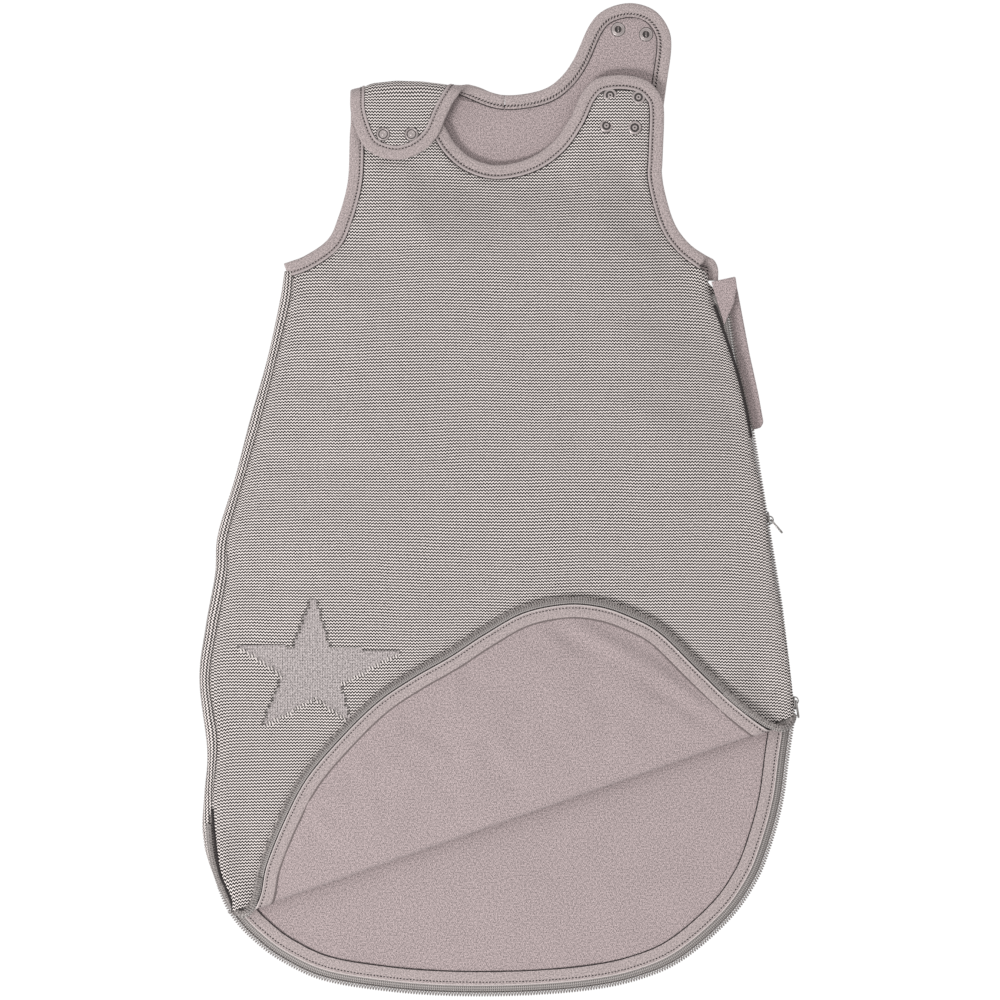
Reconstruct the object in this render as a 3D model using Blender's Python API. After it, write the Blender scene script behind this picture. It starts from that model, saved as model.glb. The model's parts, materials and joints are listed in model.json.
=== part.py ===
"""Baby sleeping bag: knitted outside, jersey lining, shoulder straps with ring snaps and a two-way zip.

It lies on its back. The left shoulder is closed, the right shoulder is open, the zip is closed only between
its two sliders, and the lower front is folded up, so that the lining of the back shows below the crease.

Metres, +Z up. The origin is on the surface that the bag lies on, under the middle of the bag, and +Y runs
towards the shoulders. Plan outlines are written in millimetres and run clockwise seen from above, so the
cloth is always on their right-hand side.
"""

import math

import bmesh
import bpy
from mathutils import Matrix, Vector

MM = 0.001
GAP = 0.3 * MM

# Cloth, from the surface upwards
KNIT = 2.0 * MM
JERSEY = 1.2 * MM
PLIES = KNIT + GAP + JERSEY
FRONT_LEVEL = 9.0 * MM
CROWN = 12.0 * MM
CROWN_WIDTH = 70 * MM
CROWN_FROM_CREASE = (160 * MM, 240 * MM)
CROWN_BELOW_STRAPS = (200 * MM, 260 * MM)
CELL = 48 * MM

BINDING_WIDTH = 10.0 * MM
RIM_HEIGHT = FRONT_LEVEL + PLIES
RIM_OVERLAP = 0.5 * MM
RIM_END = -225 * MM
LINING_END = -200 * MM
BOTTOM_SKIPPED = (2, 4)

# Zip
TAPE = 0.7 * MM
TAPE_WIDTH = 11.0 * MM
TAPE_SHOWN = 7.0 * MM
FACING = 0.7 * MM
FACING_WIDTH = 10.8 * MM
COIL_RADIUS = 0.9 * MM
COIL_CLEAR = COIL_RADIUS + GAP
BACK_COIL_LEVEL = 4.4 * MM
FRONT_COIL_LEVEL = 7.6 * MM
BACK_TAPE_LEVEL = KNIT + GAP
FRONT_TAPE_LEVEL = FRONT_LEVEL - GAP - TAPE
FRONT_FACING_LEVEL = FRONT_TAPE_LEVEL - GAP - FACING

# Lower front, folded up over the upper front
FLAP_LEVEL = FRONT_LEVEL + PLIES + 0.4 * MM
FLAP_LINING_LEVEL = FLAP_LEVEL + KNIT + GAP
FLAP_FACING_LEVEL = FLAP_LEVEL + PLIES + GAP
FLAP_TAPE_SHOWN = 6.5 * MM
FLAP_FACING_WIDTH = 9.2 * MM

# Ring snaps
SNAP_RADIUS = 5.0 * MM
SNAP_SPACING = 21.8 * MM
SNAP_ROW_PITCH = 23.5 * MM
SNAP_STEPS = 12
STRAP_LIFT = 3.0 * MM
RECESS_CLEAR = 0.35
RECESS_DEPTH = 1.3
SHARP_ANGLE = math.radians(35)
# Where each pair of snaps sits on its strap laid out flat, and its row's angle in degrees
LEFT_PAIR = ((-78.8, 354.4), 0.0)
RIGHT_PAIR = ((101.7, 359.6), -10.0)
# (radius, height) profiles in millimetres, each turned about its own axis
CAP_PROFILE = [(0, 0.25), (2.9, 0.25), (3.3, 0), (4.5, 0), (5.0, 0.4), (5.0, 0.9), (0, 0.9)]
SOCKET_PROFILE = [(5.0, 0), (5.0, 0.7), (3.6, 1.5), (2.3, 1.5), (2.3, 0)]
STUD_PROFILE = [(0, 0), (5.0, 0), (5.0, 0.3), (3.0, 0.5), (1.6, 0.5), (1.8, 1.7), (1.4, 2.1), (0, 2.1)]
RING_PROFILE = [(5.0, 0), (5.0, 0.5), (4.4, 0.7), (2.3, 0.7), (2.3, 0)]
RECESS_RADIUS = SNAP_RADIUS / MM + RECESS_CLEAR
RECESS_PROFILE = [(0, -1), (RECESS_RADIUS, -1), (RECESS_RADIUS, RECESS_DEPTH), (0, RECESS_DEPTH)]
CAP_RECESS = 1.3 * MM
CAP_THICKNESS = 0.9 * MM

# Sliders
SLIDER_LENGTH = 10.5 * MM
SLIDER_WALL = 1.0 * MM
SLIDER_BOTTOM = 2.4 * MM
SLIDER_TOP = 8.6 * MM
PULL_LENGTH = 14.0 * MM
PULL_WIDTH = 5.0 * MM
PULL_THICKNESS = 0.8 * MM
PULL_WINDOW = (4.0 * MM, 2.4 * MM)
PULL_ROUNDING = 1.8 * MM
PIVOT_CLEAR = 1.0 * MM
DIVIDER_SHARE = 0.6
DIVIDER_THICKNESS = 0.7 * MM
BAIL_THICKNESS = 0.8 * MM
BAIL_WIDTH = 1.2 * MM
BAIL_REACH = 3.4 * MM
BAIL_SPREAD = 2.9 * MM
BAIL_BACK = 1.4 * MM
BAIL_OVERLAP = 0.1 * MM
# Each slider's way along its straight stretch, its pivot's offset along it, and its pull's angle in degrees
UPPER_SLIDER = (69 * MM, 1.5 * MM, -49)
LOWER_SLIDER = (75.5 * MM, -1.5 * MM, -81)

POINT_STEP = 14 * MM
SAME_LINE = 1e-4
SAME_POINT = 1e-6
NECK_MIDDLE = 8 * MM
STRAP_MARGIN = 12 * MM


def metres(points):
    return [Vector((x * MM, y * MM)) for x, y in points]


# The free edge of the back as one pattern piece with both straps laid out flat: left underarm, left
# armhole, left strap, neck, right strap, right armhole, right underarm
BACK_BOUND = metres([
    (-163, 182), (-150, 187), (-133, 199), (-125, 215), (-117, 245), (-115, 290), (-115, 320),
    (-114, 340), (-105, 363), (-92, 372), (-76, 374), (-60, 368), (-48, 356), (-40, 338), (-30, 321),
    (-15, 314), (8, 311), (32, 315), (46, 324), (57, 339), (69, 365), (81, 377), (100, 382),
    (118, 377), (129, 364), (132, 348), (128, 317), (125, 290), (125, 248), (133, 215), (144, 198),
    (158, 188), (165, 184), (168, 177), (168, 168),
])
# The free edge of the front: left underarm, left strap, neck, right strap, right underarm
FRONT_BOUND = metres([
    (-163, 182), (-150, 187), (-133, 199), (-125, 215), (-117, 245), (-115, 286), (-110, 304),
    (-98, 313), (-79, 315), (-62, 313), (-51, 303), (-43, 288), (-35, 274), (-21, 262), (-2, 257),
    (22, 262), (41, 275), (54, 293), (63, 312), (74, 323), (92, 326), (110, 323), (121, 314),
    (126, 300), (125, 261), (125, 245), (133, 215), (144, 198), (159, 186),
])
FRONT_RIGHT = metres([
    (160, 172), (161, 160), (171, 132), (181, 102), (189, 70), (196, 31), (203, -1), (209, -47),
    (215, -78), (220, -108), (225, -150), (226, -172), (226, -184),
])
FRONT_LEFT = metres([
    (-206, -335), (-206, -312), (-216, -285), (-221, -241), (-221, -220), (-218, -185), (-224, -139),
    (-218, -97), (-211, -58), (-210, -28), (-198, 15), (-185, 61), (-173, 107), (-162, 153), (-160, 171),
])
BACK_LEFT = metres([
    (-226, -270), (-228, -251), (-226, -224), (-224, -193), (-230, -139), (-225, -97), (-218, -58),
    (-216, -28), (-203, 15), (-191, 61), (-178, 107), (-168, 153), (-165, 172),
])
# The zip's line: past the open upper part, along two straight stretches, then round the bottom
ZIP_UPPER = metres([(168, 160), (175, 147), (181, 110), (188, 79), (194, 53)])
ZIP_CORNER = Vector((216 * MM, -82 * MM))
ZIP_SIDE_END = Vector((226 * MM, -168 * MM))
ZIP_BOTTOM = metres([
    (226, -168), (223, -187), (221, -201), (217, -231), (209, -262), (197, -293), (176, -323),
    (140, -354), (106, -369), (67, -377), (14, -381), (-43, -381), (-92, -377), (-137, -369),
    (-169, -354), (-190, -338), (-204, -323), (-213, -307), (-220, -284), (-222, -262), (-221, -243),
])
FLAP_FREE = metres([
    (-200, -321), (-190, -304), (-185, -280), (-171, -245), (-153, -211), (-125, -178), (-97, -151),
    (-69, -132), (-41, -116), (-15, -99), (16, -82), (50, -75), (78, -77), (102, -85), (126, -98),
    (157, -128), (181, -151), (204, -169), (216, -174), (226, -172),
])
FRONT_ZIP_LEFT = metres([(-203, -316), (-208, -309), (-217, -286), (-221, -262), (-222, -243)])
GARAGE = metres([(162.5, 167), (181, 171), (182, 164), (180, 151), (172.5, 134)])
WIND_FLAP_EDGE = metres([(201, 55), (203, 59), (199, 81), (192, 113), (183, 161), (181, 171), (172, 168)])


class Fold:
    """A straight fold line seen from above: a hinge axis along it at its height."""

    def __init__(self, point, degrees, height):
        self.point = Vector((point[0] * MM, point[1] * MM))
        self.angle = math.radians(degrees)
        self.along = Vector((math.cos(self.angle), math.sin(self.angle)))
        self.across = Vector((-math.sin(self.angle), math.cos(self.angle)))
        self.height = height

    def distance(self, point):
        return (Vector(point) - self.point).dot(self.across)

    def mirrored(self, point):
        return Vector(point) - 2 * self.distance(point) * self.across


# A closed strap lies on the front strap, one snap's thickness above it
STRAP_AXIS = (FRONT_LEVEL + PLIES + STRAP_LIFT + PLIES) / 2
LEFT_FOLD = Fold((-79, 317.2), 0.0, STRAP_AXIS)
RIGHT_FOLD = Fold((96.6, 322.9), -7.0, STRAP_AXIS)
CREASE = Fold((8.3, -242.5), 19.2, (FRONT_LEVEL + PLIES + FLAP_LEVEL) / 2)
FOLD_CLEAR = 2.3 * MM
CREASE_CLEAR = 1.0 * MM


def clear_scene():
    for obj in list(bpy.data.objects):
        bpy.data.objects.remove(obj, do_unlink=True)


def material(name, red, green, blue, roughness, metallic=0.0):
    """A Principled material from a display colour of 0 to 255."""
    made = bpy.data.materials.new(name)
    made.use_nodes = True
    shader = made.node_tree.nodes["Principled BSDF"]
    linear = [(channel / 255) ** 2.2 for channel in (red, green, blue)]
    shader.inputs["Base Color"].default_value = (*linear, 1.0)
    shader.inputs["Roughness"].default_value = roughness
    shader.inputs["Metallic"].default_value = metallic
    made.diffuse_color = (*linear, 1.0)
    return made


def smooth(points):
    """A Catmull-Rom curve through the points, as points about POINT_STEP apart."""
    ends = [2 * points[0] - points[1], *points, 2 * points[-1] - points[-2]]
    curve = []
    for before, start, end, after in zip(ends, ends[1:], ends[2:], ends[3:]):
        count = max(1, round((end - start).length / POINT_STEP))
        for step in range(count):
            t = step / count
            curve.append(0.5 * (
                2 * start
                + (end - before) * t
                + (2 * before - 5 * start + 4 * end - after) * t ** 2
                + (3 * start - before - 3 * end + after) * t ** 3
            ))
    return curve + [points[-1]]


def inset(path, distance):
    """The path moved to its right-hand side, into the cloth."""
    moved = []
    for index, point in enumerate(path):
        before = path[max(index - 1, 0)]
        after = path[min(index + 1, len(path) - 1)]
        heading = (after - before).normalized()
        moved.append(point + distance * Vector((heading.y, -heading.x)))
    return moved


def band(path, near, far):
    """The closed outline of a strip along a path, between two distances into the cloth."""
    return inset(path, near) + inset(path, far)[::-1]


def cut(mesh, point, keep, side):
    """Removes what lies beyond a vertical plane, on one side of the neck (-1, 1) or on both (0)."""
    faces = [face for face in mesh.faces if (face.calc_center_median().x - NECK_MIDDLE) * side >= 0]
    edges = {edge for face in faces for edge in face.edges}
    corners = {vertex for face in faces for vertex in face.verts}
    bmesh.ops.bisect_plane(
        mesh,
        geom=[*corners, *edges, *faces],
        plane_co=(*point, 0),
        plane_no=(*keep, 0),
        clear_inner=True,
    )


def flat_outline(outline, cuts):
    """A flat face, trimmed by vertical planes, each over the whole face or over one side of the neck only."""
    mesh = bmesh.new()
    mesh.faces.new([mesh.verts.new((*point, 0)) for point in outline])
    bmesh.ops.triangulate(mesh, faces=mesh.faces[:])
    geometry = mesh.verts[:] + mesh.edges[:] + mesh.faces[:]
    bmesh.ops.bisect_plane(mesh, geom=geometry, plane_co=(NECK_MIDDLE, 0, 0), plane_no=(1, 0, 0))
    for point, keep, side in cuts:
        cut(mesh, point, keep, side)
    bmesh.ops.dissolve_edges(mesh, edges=[edge for edge in mesh.edges if len(edge.link_faces) == 2])
    return mesh


def on_grid(edge, size):
    """Whether an edge runs along a line of the square grid."""
    first, second = (vertex.co / size for vertex in edge.verts)
    return any(
        abs(first[axis] - second[axis]) < SAME_LINE and abs(first[axis] - round(first[axis])) < SAME_LINE
        for axis in range(2)
    )


def divide(mesh, size):
    """Divides a flat outline into triangles within square cells."""
    bmesh.ops.triangulate(mesh, faces=mesh.faces[:])
    for axis in range(2):
        values = [vertex.co[axis] for vertex in mesh.verts]
        direction = Vector((axis == 0, axis == 1, 0))
        for count in range(math.ceil(min(values) / size), math.ceil(max(values) / size)):
            geometry = mesh.verts[:] + mesh.edges[:] + mesh.faces[:]
            place = direction * count * size
            bmesh.ops.bisect_plane(mesh, geom=geometry, dist=SAME_POINT, plane_co=place, plane_no=direction)
    shared = [edge for edge in mesh.edges if len(edge.link_faces) == 2 and not on_grid(edge, size)]
    bmesh.ops.dissolve_edges(mesh, edges=shared)
    bmesh.ops.triangulate(mesh, faces=mesh.faces[:])


def add_object(name, mesh, look, empty=None):
    data = bpy.data.meshes.new(name)
    mesh.to_mesh(data)
    mesh.free()
    data.materials.append(look)
    obj = bpy.data.objects.new(name, data)
    bpy.context.scene.collection.objects.link(obj)
    attach(obj, empty)
    return obj


def attach(obj, empty):
    """Parents an object to an empty on its joint's axis and leaves it where it is."""
    if empty:
        obj.parent = empty
        obj.matrix_parent_inverse = empty.matrix_world.inverted()


def sheet(name, outline, level, thickness, look, empty=None, cuts=(), lift=None):
    """A piece of cloth: a flat outline, trimmed by planes, raised by lift(x, y) and given its thickness."""
    mesh = flat_outline(outline, cuts)
    if lift:
        divide(mesh, CELL)
        for vertex in mesh.verts:
            vertex.co.z = lift(vertex.co.x, vertex.co.y)
    bmesh.ops.translate(mesh, vec=(0, 0, level), verts=mesh.verts[:])
    upper = bmesh.ops.extrude_face_region(mesh, geom=mesh.faces[:])["geom"]
    raised = [item for item in upper if isinstance(item, bmesh.types.BMVert)]
    bmesh.ops.translate(mesh, vec=(0, 0, thickness), verts=raised)
    bmesh.ops.recalc_face_normals(mesh, faces=mesh.faces[:])
    return add_object(name, mesh, look, empty)


def coil(name, path, level, look, empty=None):
    """One half of a coil zip as a round bar along the tape's edge."""
    curve = bpy.data.curves.new(name, "CURVE")
    curve.dimensions = "3D"
    curve.bevel_depth = COIL_RADIUS
    curve.bevel_resolution = 1
    curve.use_fill_caps = True
    spline = curve.splines.new("POLY")
    spline.points.add(len(path) - 1)
    for target, point in zip(spline.points, path):
        target.co = (*point, level, 1)
    curve.materials.append(look)
    obj = bpy.data.objects.new(name, curve)
    bpy.context.scene.collection.objects.link(obj)
    attach(obj, empty)
    return obj


def turned_mesh(name, profile, look):
    """A mesh turned about Z from a profile of (radius, height) in millimetres."""
    mesh = bmesh.new()
    points = [mesh.verts.new((radius * MM, 0, height * MM)) for radius, height in profile]
    closed = profile[0][0] > 0
    edges = [mesh.edges.new(pair) for pair in zip(points, points[1:] + points[:1] * closed)]
    bmesh.ops.spin(
        mesh, geom=points + edges, cent=(0, 0, 0), axis=(0, 0, 1), angle=2 * math.pi, steps=SNAP_STEPS
    )
    bmesh.ops.remove_doubles(mesh, verts=mesh.verts[:], dist=SAME_POINT)
    bmesh.ops.recalc_face_normals(mesh, faces=mesh.faces[:])
    data = bpy.data.meshes.new(name)
    mesh.to_mesh(data)
    mesh.free()
    data.materials.append(look)
    data.shade_smooth()
    data.set_sharp_from_angle(angle=SHARP_ANGLE)
    return data


def place(name, data, x, y, z, empty=None, flipped=False):
    obj = bpy.data.objects.new(name, data)
    bpy.context.scene.collection.objects.link(obj)
    obj.location = (x, y, z)
    if flipped:
        obj.rotation_euler.x = math.pi
    attach(obj, empty)
    return obj


def box_mesh(size, centre):
    mesh = bmesh.new()
    bmesh.ops.create_cube(mesh, size=1, matrix=Matrix.Translation(centre) @ Matrix.Diagonal((*size, 1)))
    return mesh


def helper(obj):
    """Hides a solid that only cuts or joins another."""
    obj.hide_render = True
    obj.display_type = "WIRE"


def combine(obj, other, operation):
    helper(other)
    modifier = obj.modifiers.new(other.name, "BOOLEAN")
    modifier.operation = operation
    modifier.object = other


def joint_empty(name, location, angle=0.0):
    """An empty whose X axis, at this angle in plan, is a fold's axis, or whose place is a pivot's."""
    empty = bpy.data.objects.new(name, None)
    empty.location = location
    empty.rotation_euler.z = angle
    bpy.context.scene.collection.objects.link(empty)
    bpy.context.view_layer.update()
    return empty


def eased(value, start, end):
    t = min(max((value - start) / (end - start), 0), 1)
    return t * t * (3 - 2 * t)


def front_edges():
    """The front's outline inside its binding, from the left underarm round to the left underarm."""
    bound = inset(smooth(FRONT_BOUND), BINDING_WIDTH + GAP)
    return bound + smooth(FRONT_RIGHT) + smooth(FRONT_LEFT)


def crown(outline):
    """How far the upper front stands above its seams: nothing at the edges, the straps and the crease."""
    sides = [pair for pair in zip(outline, outline[1:])]

    def lift(x, y):
        point = Vector((x, y))
        nearest = min(
            (point - a - (b - a) * min(max((point - a).dot(b - a) / (b - a).length_squared, 0), 1)).length
            for a, b in sides
        )
        return (
            CROWN
            * eased(nearest, 0, CROWN_WIDTH)
            * eased(CREASE.distance(point), *CROWN_FROM_CREASE)
            * (1 - eased(y, *CROWN_BELOW_STRAPS))
        )

    return lift


def above(fold, clear):
    return (fold.point + clear * fold.across, fold.across, 0)


def below(fold, clear):
    """A shoulder's fold, which trims only its own side of the neck."""
    side = math.copysign(1, fold.point.x - NECK_MIDDLE)
    return (fold.point - clear * fold.across, -fold.across, side)


def make_looks():
    return {
        "knit": material("knit", 166, 160, 158, 0.95),
        "jersey": material("jersey", 176, 162, 162, 0.9),
        "binding": material("binding", 178, 166, 165, 0.85),
        "facing": material("facing", 180, 167, 166, 0.9),
        "tape": material("tape", 156, 150, 149, 0.8),
        "coil": material("coil", 128, 121, 118, 0.5),
        "snap": material("snap", 160, 153, 152, 0.35, 0.6),
        "metal": material("metal", 175, 173, 172, 0.3, 1.0),
    }


def make_back(looks, zip_path):
    bound = smooth(BACK_BOUND)
    side = smooth(ZIP_UPPER) + [ZIP_CORNER, ZIP_SIDE_END]
    bottom = smooth(ZIP_BOTTOM)
    # The knit's bottom edge leaves the zip's side stretch and the left bulge without a kink
    bottom_edge = inset(bottom, TAPE_SHOWN)[BOTTOM_SKIPPED[0]:-BOTTOM_SKIPPED[1]]
    edge = inset(side, COIL_RADIUS) + bottom_edge
    fixed = (below(RIGHT_FOLD, FOLD_CLEAR), below(LEFT_FOLD, FOLD_CLEAR))
    inner = inset(bound, BINDING_WIDTH + GAP)
    outer = sheet("back_outer", inner + edge + smooth(BACK_LEFT), 0, KNIT, looks["knit"], cuts=fixed)
    seam = [point for point in inset(smooth(FRONT_LEFT), -GAP) if point.y > RIM_END]
    rim_edge = [point for point in smooth(BACK_LEFT) if point.y > RIM_END]
    rim = sheet("back_side_rim", rim_edge + seam[::-1], RIM_OVERLAP, RIM_HEIGHT - RIM_OVERLAP, looks["knit"])
    combine(outer, rim, "UNION")
    left = [point for point in inset(smooth(FRONT_LEFT), GAP) if point.y > LINING_END]
    lined = inner + inset(zip_path, TAPE_WIDTH + COIL_CLEAR + GAP) + left
    sheet("back_lining", lined, KNIT + GAP, JERSEY, looks["jersey"], cuts=fixed)
    make_back_bindings(looks, bound, fixed)


def make_back_bindings(looks, bound, fixed):
    """The one binding of the back, divided by the two fold lines into its fixed stretches."""
    peaks = (LEFT_FOLD.point.x, RIGHT_FOLD.point.x)
    stretches = {
        "left_armhole_back_binding": [p for p in bound if p.x < peaks[0]],
        "back_neck_binding": [p for p in bound if peaks[0] < p.x < peaks[1]],
        "right_armhole_back_binding": [p for p in bound if p.x > peaks[1]],
    }
    for name, path in stretches.items():
        sheet(name, band(path, 0, BINDING_WIDTH), 0, PLIES, looks["binding"], cuts=fixed)


def make_strap(side, looks, fold, empty):
    """The part of the back beyond a shoulder's fold line, modelled laid out flat."""
    bound = smooth(BACK_BOUND)
    path = [p for p in bound if (p.x < NECK_MIDDLE) == (side == "left") and fold.distance(p) > -STRAP_MARGIN]
    moving = (above(fold, FOLD_CLEAR),)
    inner = inset(path, BINDING_WIDTH + GAP)
    outer = sheet(f"{side}_strap_outer", inner, 0, KNIT, looks["knit"], empty, moving)
    sheet(f"{side}_strap_lining", inner, KNIT + GAP, JERSEY, looks["jersey"], empty, moving)
    sheet(f"{side}_strap_binding", band(path, 0, BINDING_WIDTH), 0, PLIES, looks["binding"], empty, moving)
    return outer


def make_front(looks):
    outline = front_edges()
    lift = crown(outline)
    fixed = (above(CREASE, CREASE_CLEAR),)
    sheet("front_lining", outline, FRONT_LEVEL, JERSEY, looks["jersey"], cuts=fixed, lift=lift)
    level = FRONT_LEVEL + JERSEY + GAP
    sheet("front_outer", outline, level, KNIT, looks["knit"], cuts=fixed, lift=lift)
    bound = band(smooth(FRONT_BOUND), 0, BINDING_WIDTH)
    sheet("front_binding", bound, FRONT_LEVEL, PLIES, looks["binding"])


def make_flap(looks, empty):
    """The lower front, lying on the upper front with its lining up."""
    free = smooth(FLAP_FREE)
    moving = (above(CREASE, CREASE_CLEAR),)
    knit = inset(free, FLAP_TAPE_SHOWN)
    lining = inset(free, TAPE_WIDTH + 2 * GAP)
    facing = band(free, FLAP_TAPE_SHOWN, FLAP_TAPE_SHOWN + FLAP_FACING_WIDTH)
    tape = band(free, COIL_RADIUS + COIL_CLEAR, TAPE_WIDTH)
    sheet("flap_outer", knit, FLAP_LEVEL, KNIT, looks["knit"], empty, moving)
    sheet("flap_lining", lining, FLAP_LINING_LEVEL, JERSEY, looks["jersey"], empty, moving)
    sheet("flap_facing", facing, FLAP_FACING_LEVEL, FACING, looks["facing"], empty, moving)
    sheet("flap_zip_tape", tape, FLAP_LINING_LEVEL, TAPE, looks["tape"], empty, moving)
    line = [p for p in inset(free, COIL_RADIUS) if CREASE.distance(p) > CREASE_CLEAR + COIL_RADIUS]
    coil("flap_zip_coil", line, FLAP_LINING_LEVEL + TAPE / 2, looks["coil"], empty)


def make_zip(looks, zip_path):
    """The two halves that stay in place: one on the back, one on the upper front, and what covers them."""
    tape = band(zip_path, COIL_CLEAR, COIL_CLEAR + TAPE_WIDTH)
    facing = band(zip_path, TAPE_SHOWN, TAPE_SHOWN + FACING_WIDTH)
    sheet("back_zip_tape", tape, BACK_TAPE_LEVEL, TAPE, looks["tape"])
    sheet("back_facing", facing, PLIES + GAP, FACING, looks["facing"])
    coil("back_zip_coil", zip_path, BACK_COIL_LEVEL, looks["coil"])
    fixed = (above(CREASE, CREASE_CLEAR),)
    side = smooth(ZIP_UPPER) + [ZIP_CORNER, ZIP_SIDE_END, ZIP_BOTTOM[1]]
    tape = band(side, COIL_CLEAR, COIL_CLEAR + TAPE_WIDTH)
    facing = band(side, TAPE_SHOWN, TAPE_SHOWN + FACING_WIDTH)
    sheet("front_zip_tape", tape, FRONT_TAPE_LEVEL, TAPE, looks["tape"], cuts=fixed)
    sheet("front_facing", facing, FRONT_FACING_LEVEL, FACING, looks["facing"], cuts=fixed)
    coil("front_zip_coil", side[:-2] + [ZIP_SIDE_END], FRONT_COIL_LEVEL, looks["coil"])
    left = smooth(FRONT_ZIP_LEFT)
    tape = band(left, COIL_CLEAR, TAPE_WIDTH)
    sheet("front_zip_tape_left", tape, FRONT_TAPE_LEVEL, TAPE, looks["tape"], cuts=fixed)
    coil("front_zip_coil_left", left, FRONT_COIL_LEVEL, looks["coil"])
    sheet("zip_garage", GARAGE, FRONT_LEVEL, JERSEY, looks["jersey"])
    flap = smooth(ZIP_UPPER)[1:] + WIND_FLAP_EDGE
    sheet("wind_flap", flap, 0, JERSEY, looks["jersey"])


def make_snaps(looks, straps, empties):
    """Two caps and sockets on each back strap, and two rows of studs and rings on each front strap."""
    cap = turned_mesh("snap_cap", CAP_PROFILE, looks["snap"])
    socket = turned_mesh("snap_socket", SOCKET_PROFILE, looks["snap"])
    stud = turned_mesh("snap_stud", STUD_PROFILE, looks["snap"])
    ring = turned_mesh("snap_ring", RING_PROFILE, looks["snap"])
    recess = turned_mesh("recess", RECESS_PROFILE, looks["snap"])
    pairs = {"left": (*LEFT_PAIR, LEFT_FOLD), "right": (*RIGHT_PAIR, RIGHT_FOLD)}
    for side, (centre, degrees, fold) in pairs.items():
        row = Vector((math.cos(math.radians(degrees)), math.sin(math.radians(degrees))))
        for index, sign in enumerate((-1, 1), 1):
            spot = Vector(centre) * MM + sign * SNAP_SPACING / 2 * row
            empty = empties[side]
            hole = place(f"{side}_recess_{index}", recess, *spot, 0, empty)
            combine(straps[side], hole, "DIFFERENCE")
            place(f"{side}_snap_cap_{index}", cap, *spot, CAP_RECESS - GAP - CAP_THICKNESS, empty)
            place(f"{side}_snap_socket_{index}", socket, *spot, PLIES + GAP, empty)
            lower = fold.mirrored(spot)
            upper = lower + SNAP_ROW_PITCH * fold.across
            for row_name, stud_spot in (("lower", lower), ("upper", upper)):
                top = FRONT_LEVEL + PLIES + GAP
                place(f"{side}_{row_name}_snap_stud_{index}", stud, *stud_spot, top)
                under = FRONT_LEVEL - GAP
                place(f"{side}_{row_name}_snap_ring_{index}", ring, *stud_spot, under, flipped=True)


def make_slider(side, looks, start, end, way, pivot_shift, pull_angle):
    """A slider round both coils on a straight stretch, with a bail, and its pull hung in the bail."""
    heading = (end - start).normalized()
    centre = start + way * heading
    run = joint_empty(f"{side}_slider_run", (*centre, 0), math.atan2(heading.y, heading.x))
    middle = (SLIDER_BOTTOM + SLIDER_TOP) / 2
    outer = COIL_CLEAR + SLIDER_WALL / 2
    pivot_out = COIL_CLEAR + SLIDER_WALL + PIVOT_CLEAR
    tall = SLIDER_TOP - SLIDER_BOTTOM

    def piece(name, length, depth, height, along, out, level):
        """A block in the slider's own directions: along the chain, outwards from the bag, and up."""
        mesh = box_mesh((length, depth, height), (along, out, level))
        bmesh.ops.transform(mesh, matrix=run.matrix_world, verts=mesh.verts[:])
        return add_object(name, mesh, looks["metal"], run)

    body = piece(f"{side}_slider", SLIDER_LENGTH, SLIDER_WALL, tall, 0, outer, middle)
    inner_top = FRONT_TAPE_LEVEL - GAP
    inner_bottom = PLIES + GAP
    coil_gap = (BACK_COIL_LEVEL + FRONT_COIL_LEVEL) / 2
    post = 2 * outer + SLIDER_WALL
    foot = (BAIL_THICKNESS, BAIL_REACH, BAIL_WIDTH)
    foot_out = outer + BAIL_REACH / 2 - BAIL_OVERLAP
    bridge = 2 * BAIL_SPREAD + BAIL_THICKNESS
    blocks = (
        ("inner_plate", SLIDER_LENGTH, SLIDER_WALL, inner_top - inner_bottom, 0, -outer,
         (inner_top + inner_bottom) / 2),
        ("divider", SLIDER_LENGTH * DIVIDER_SHARE, post, DIVIDER_THICKNESS, 0, 0, coil_gap),
        ("bail_foot_1", *foot, pivot_shift - BAIL_SPREAD, foot_out, middle),
        ("bail_foot_2", *foot, pivot_shift + BAIL_SPREAD, foot_out, middle),
        ("bail_bridge", bridge, BAIL_THICKNESS, BAIL_WIDTH, pivot_shift, pivot_out + BAIL_BACK, middle),
    )
    for name, *shape in blocks:
        combine(body, piece(f"{side}_slider_{name}", *shape), "UNION")

    out = Vector((-heading.y, heading.x))
    pivot = centre + pivot_shift * heading + pivot_out * out
    swing = joint_empty(f"{side}_pull_pivot", (*pivot, middle), math.radians(pull_angle))
    bar = PULL_THICKNESS / 2
    window, window_height = PULL_WINDOW
    mesh = box_mesh((PULL_LENGTH, PULL_THICKNESS, PULL_WIDTH), (PULL_LENGTH / 2 - bar, 0, 0))
    corners = [edge for edge in mesh.edges if abs((edge.verts[0].co - edge.verts[1].co).y) > bar]
    tip = [edge for edge in corners if edge.verts[0].co.x > PULL_LENGTH / 2]
    bmesh.ops.bevel(mesh, geom=tip, offset=PULL_ROUNDING, segments=3, affect="EDGES", profile=0.5)
    bmesh.ops.transform(mesh, matrix=swing.matrix_world, verts=mesh.verts[:])
    pull = add_object(f"{side}_slider_pull", mesh, looks["metal"], swing)
    mesh = box_mesh((window, 2 * PULL_THICKNESS, window_height), (bar + window / 2, 0, 0))
    bmesh.ops.transform(mesh, matrix=swing.matrix_world, verts=mesh.verts[:])
    combine(pull, add_object(f"{side}_pull_window", mesh, looks["metal"], swing), "DIFFERENCE")
    swing.parent = run
    swing.matrix_parent_inverse = run.matrix_world.inverted()


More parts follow.
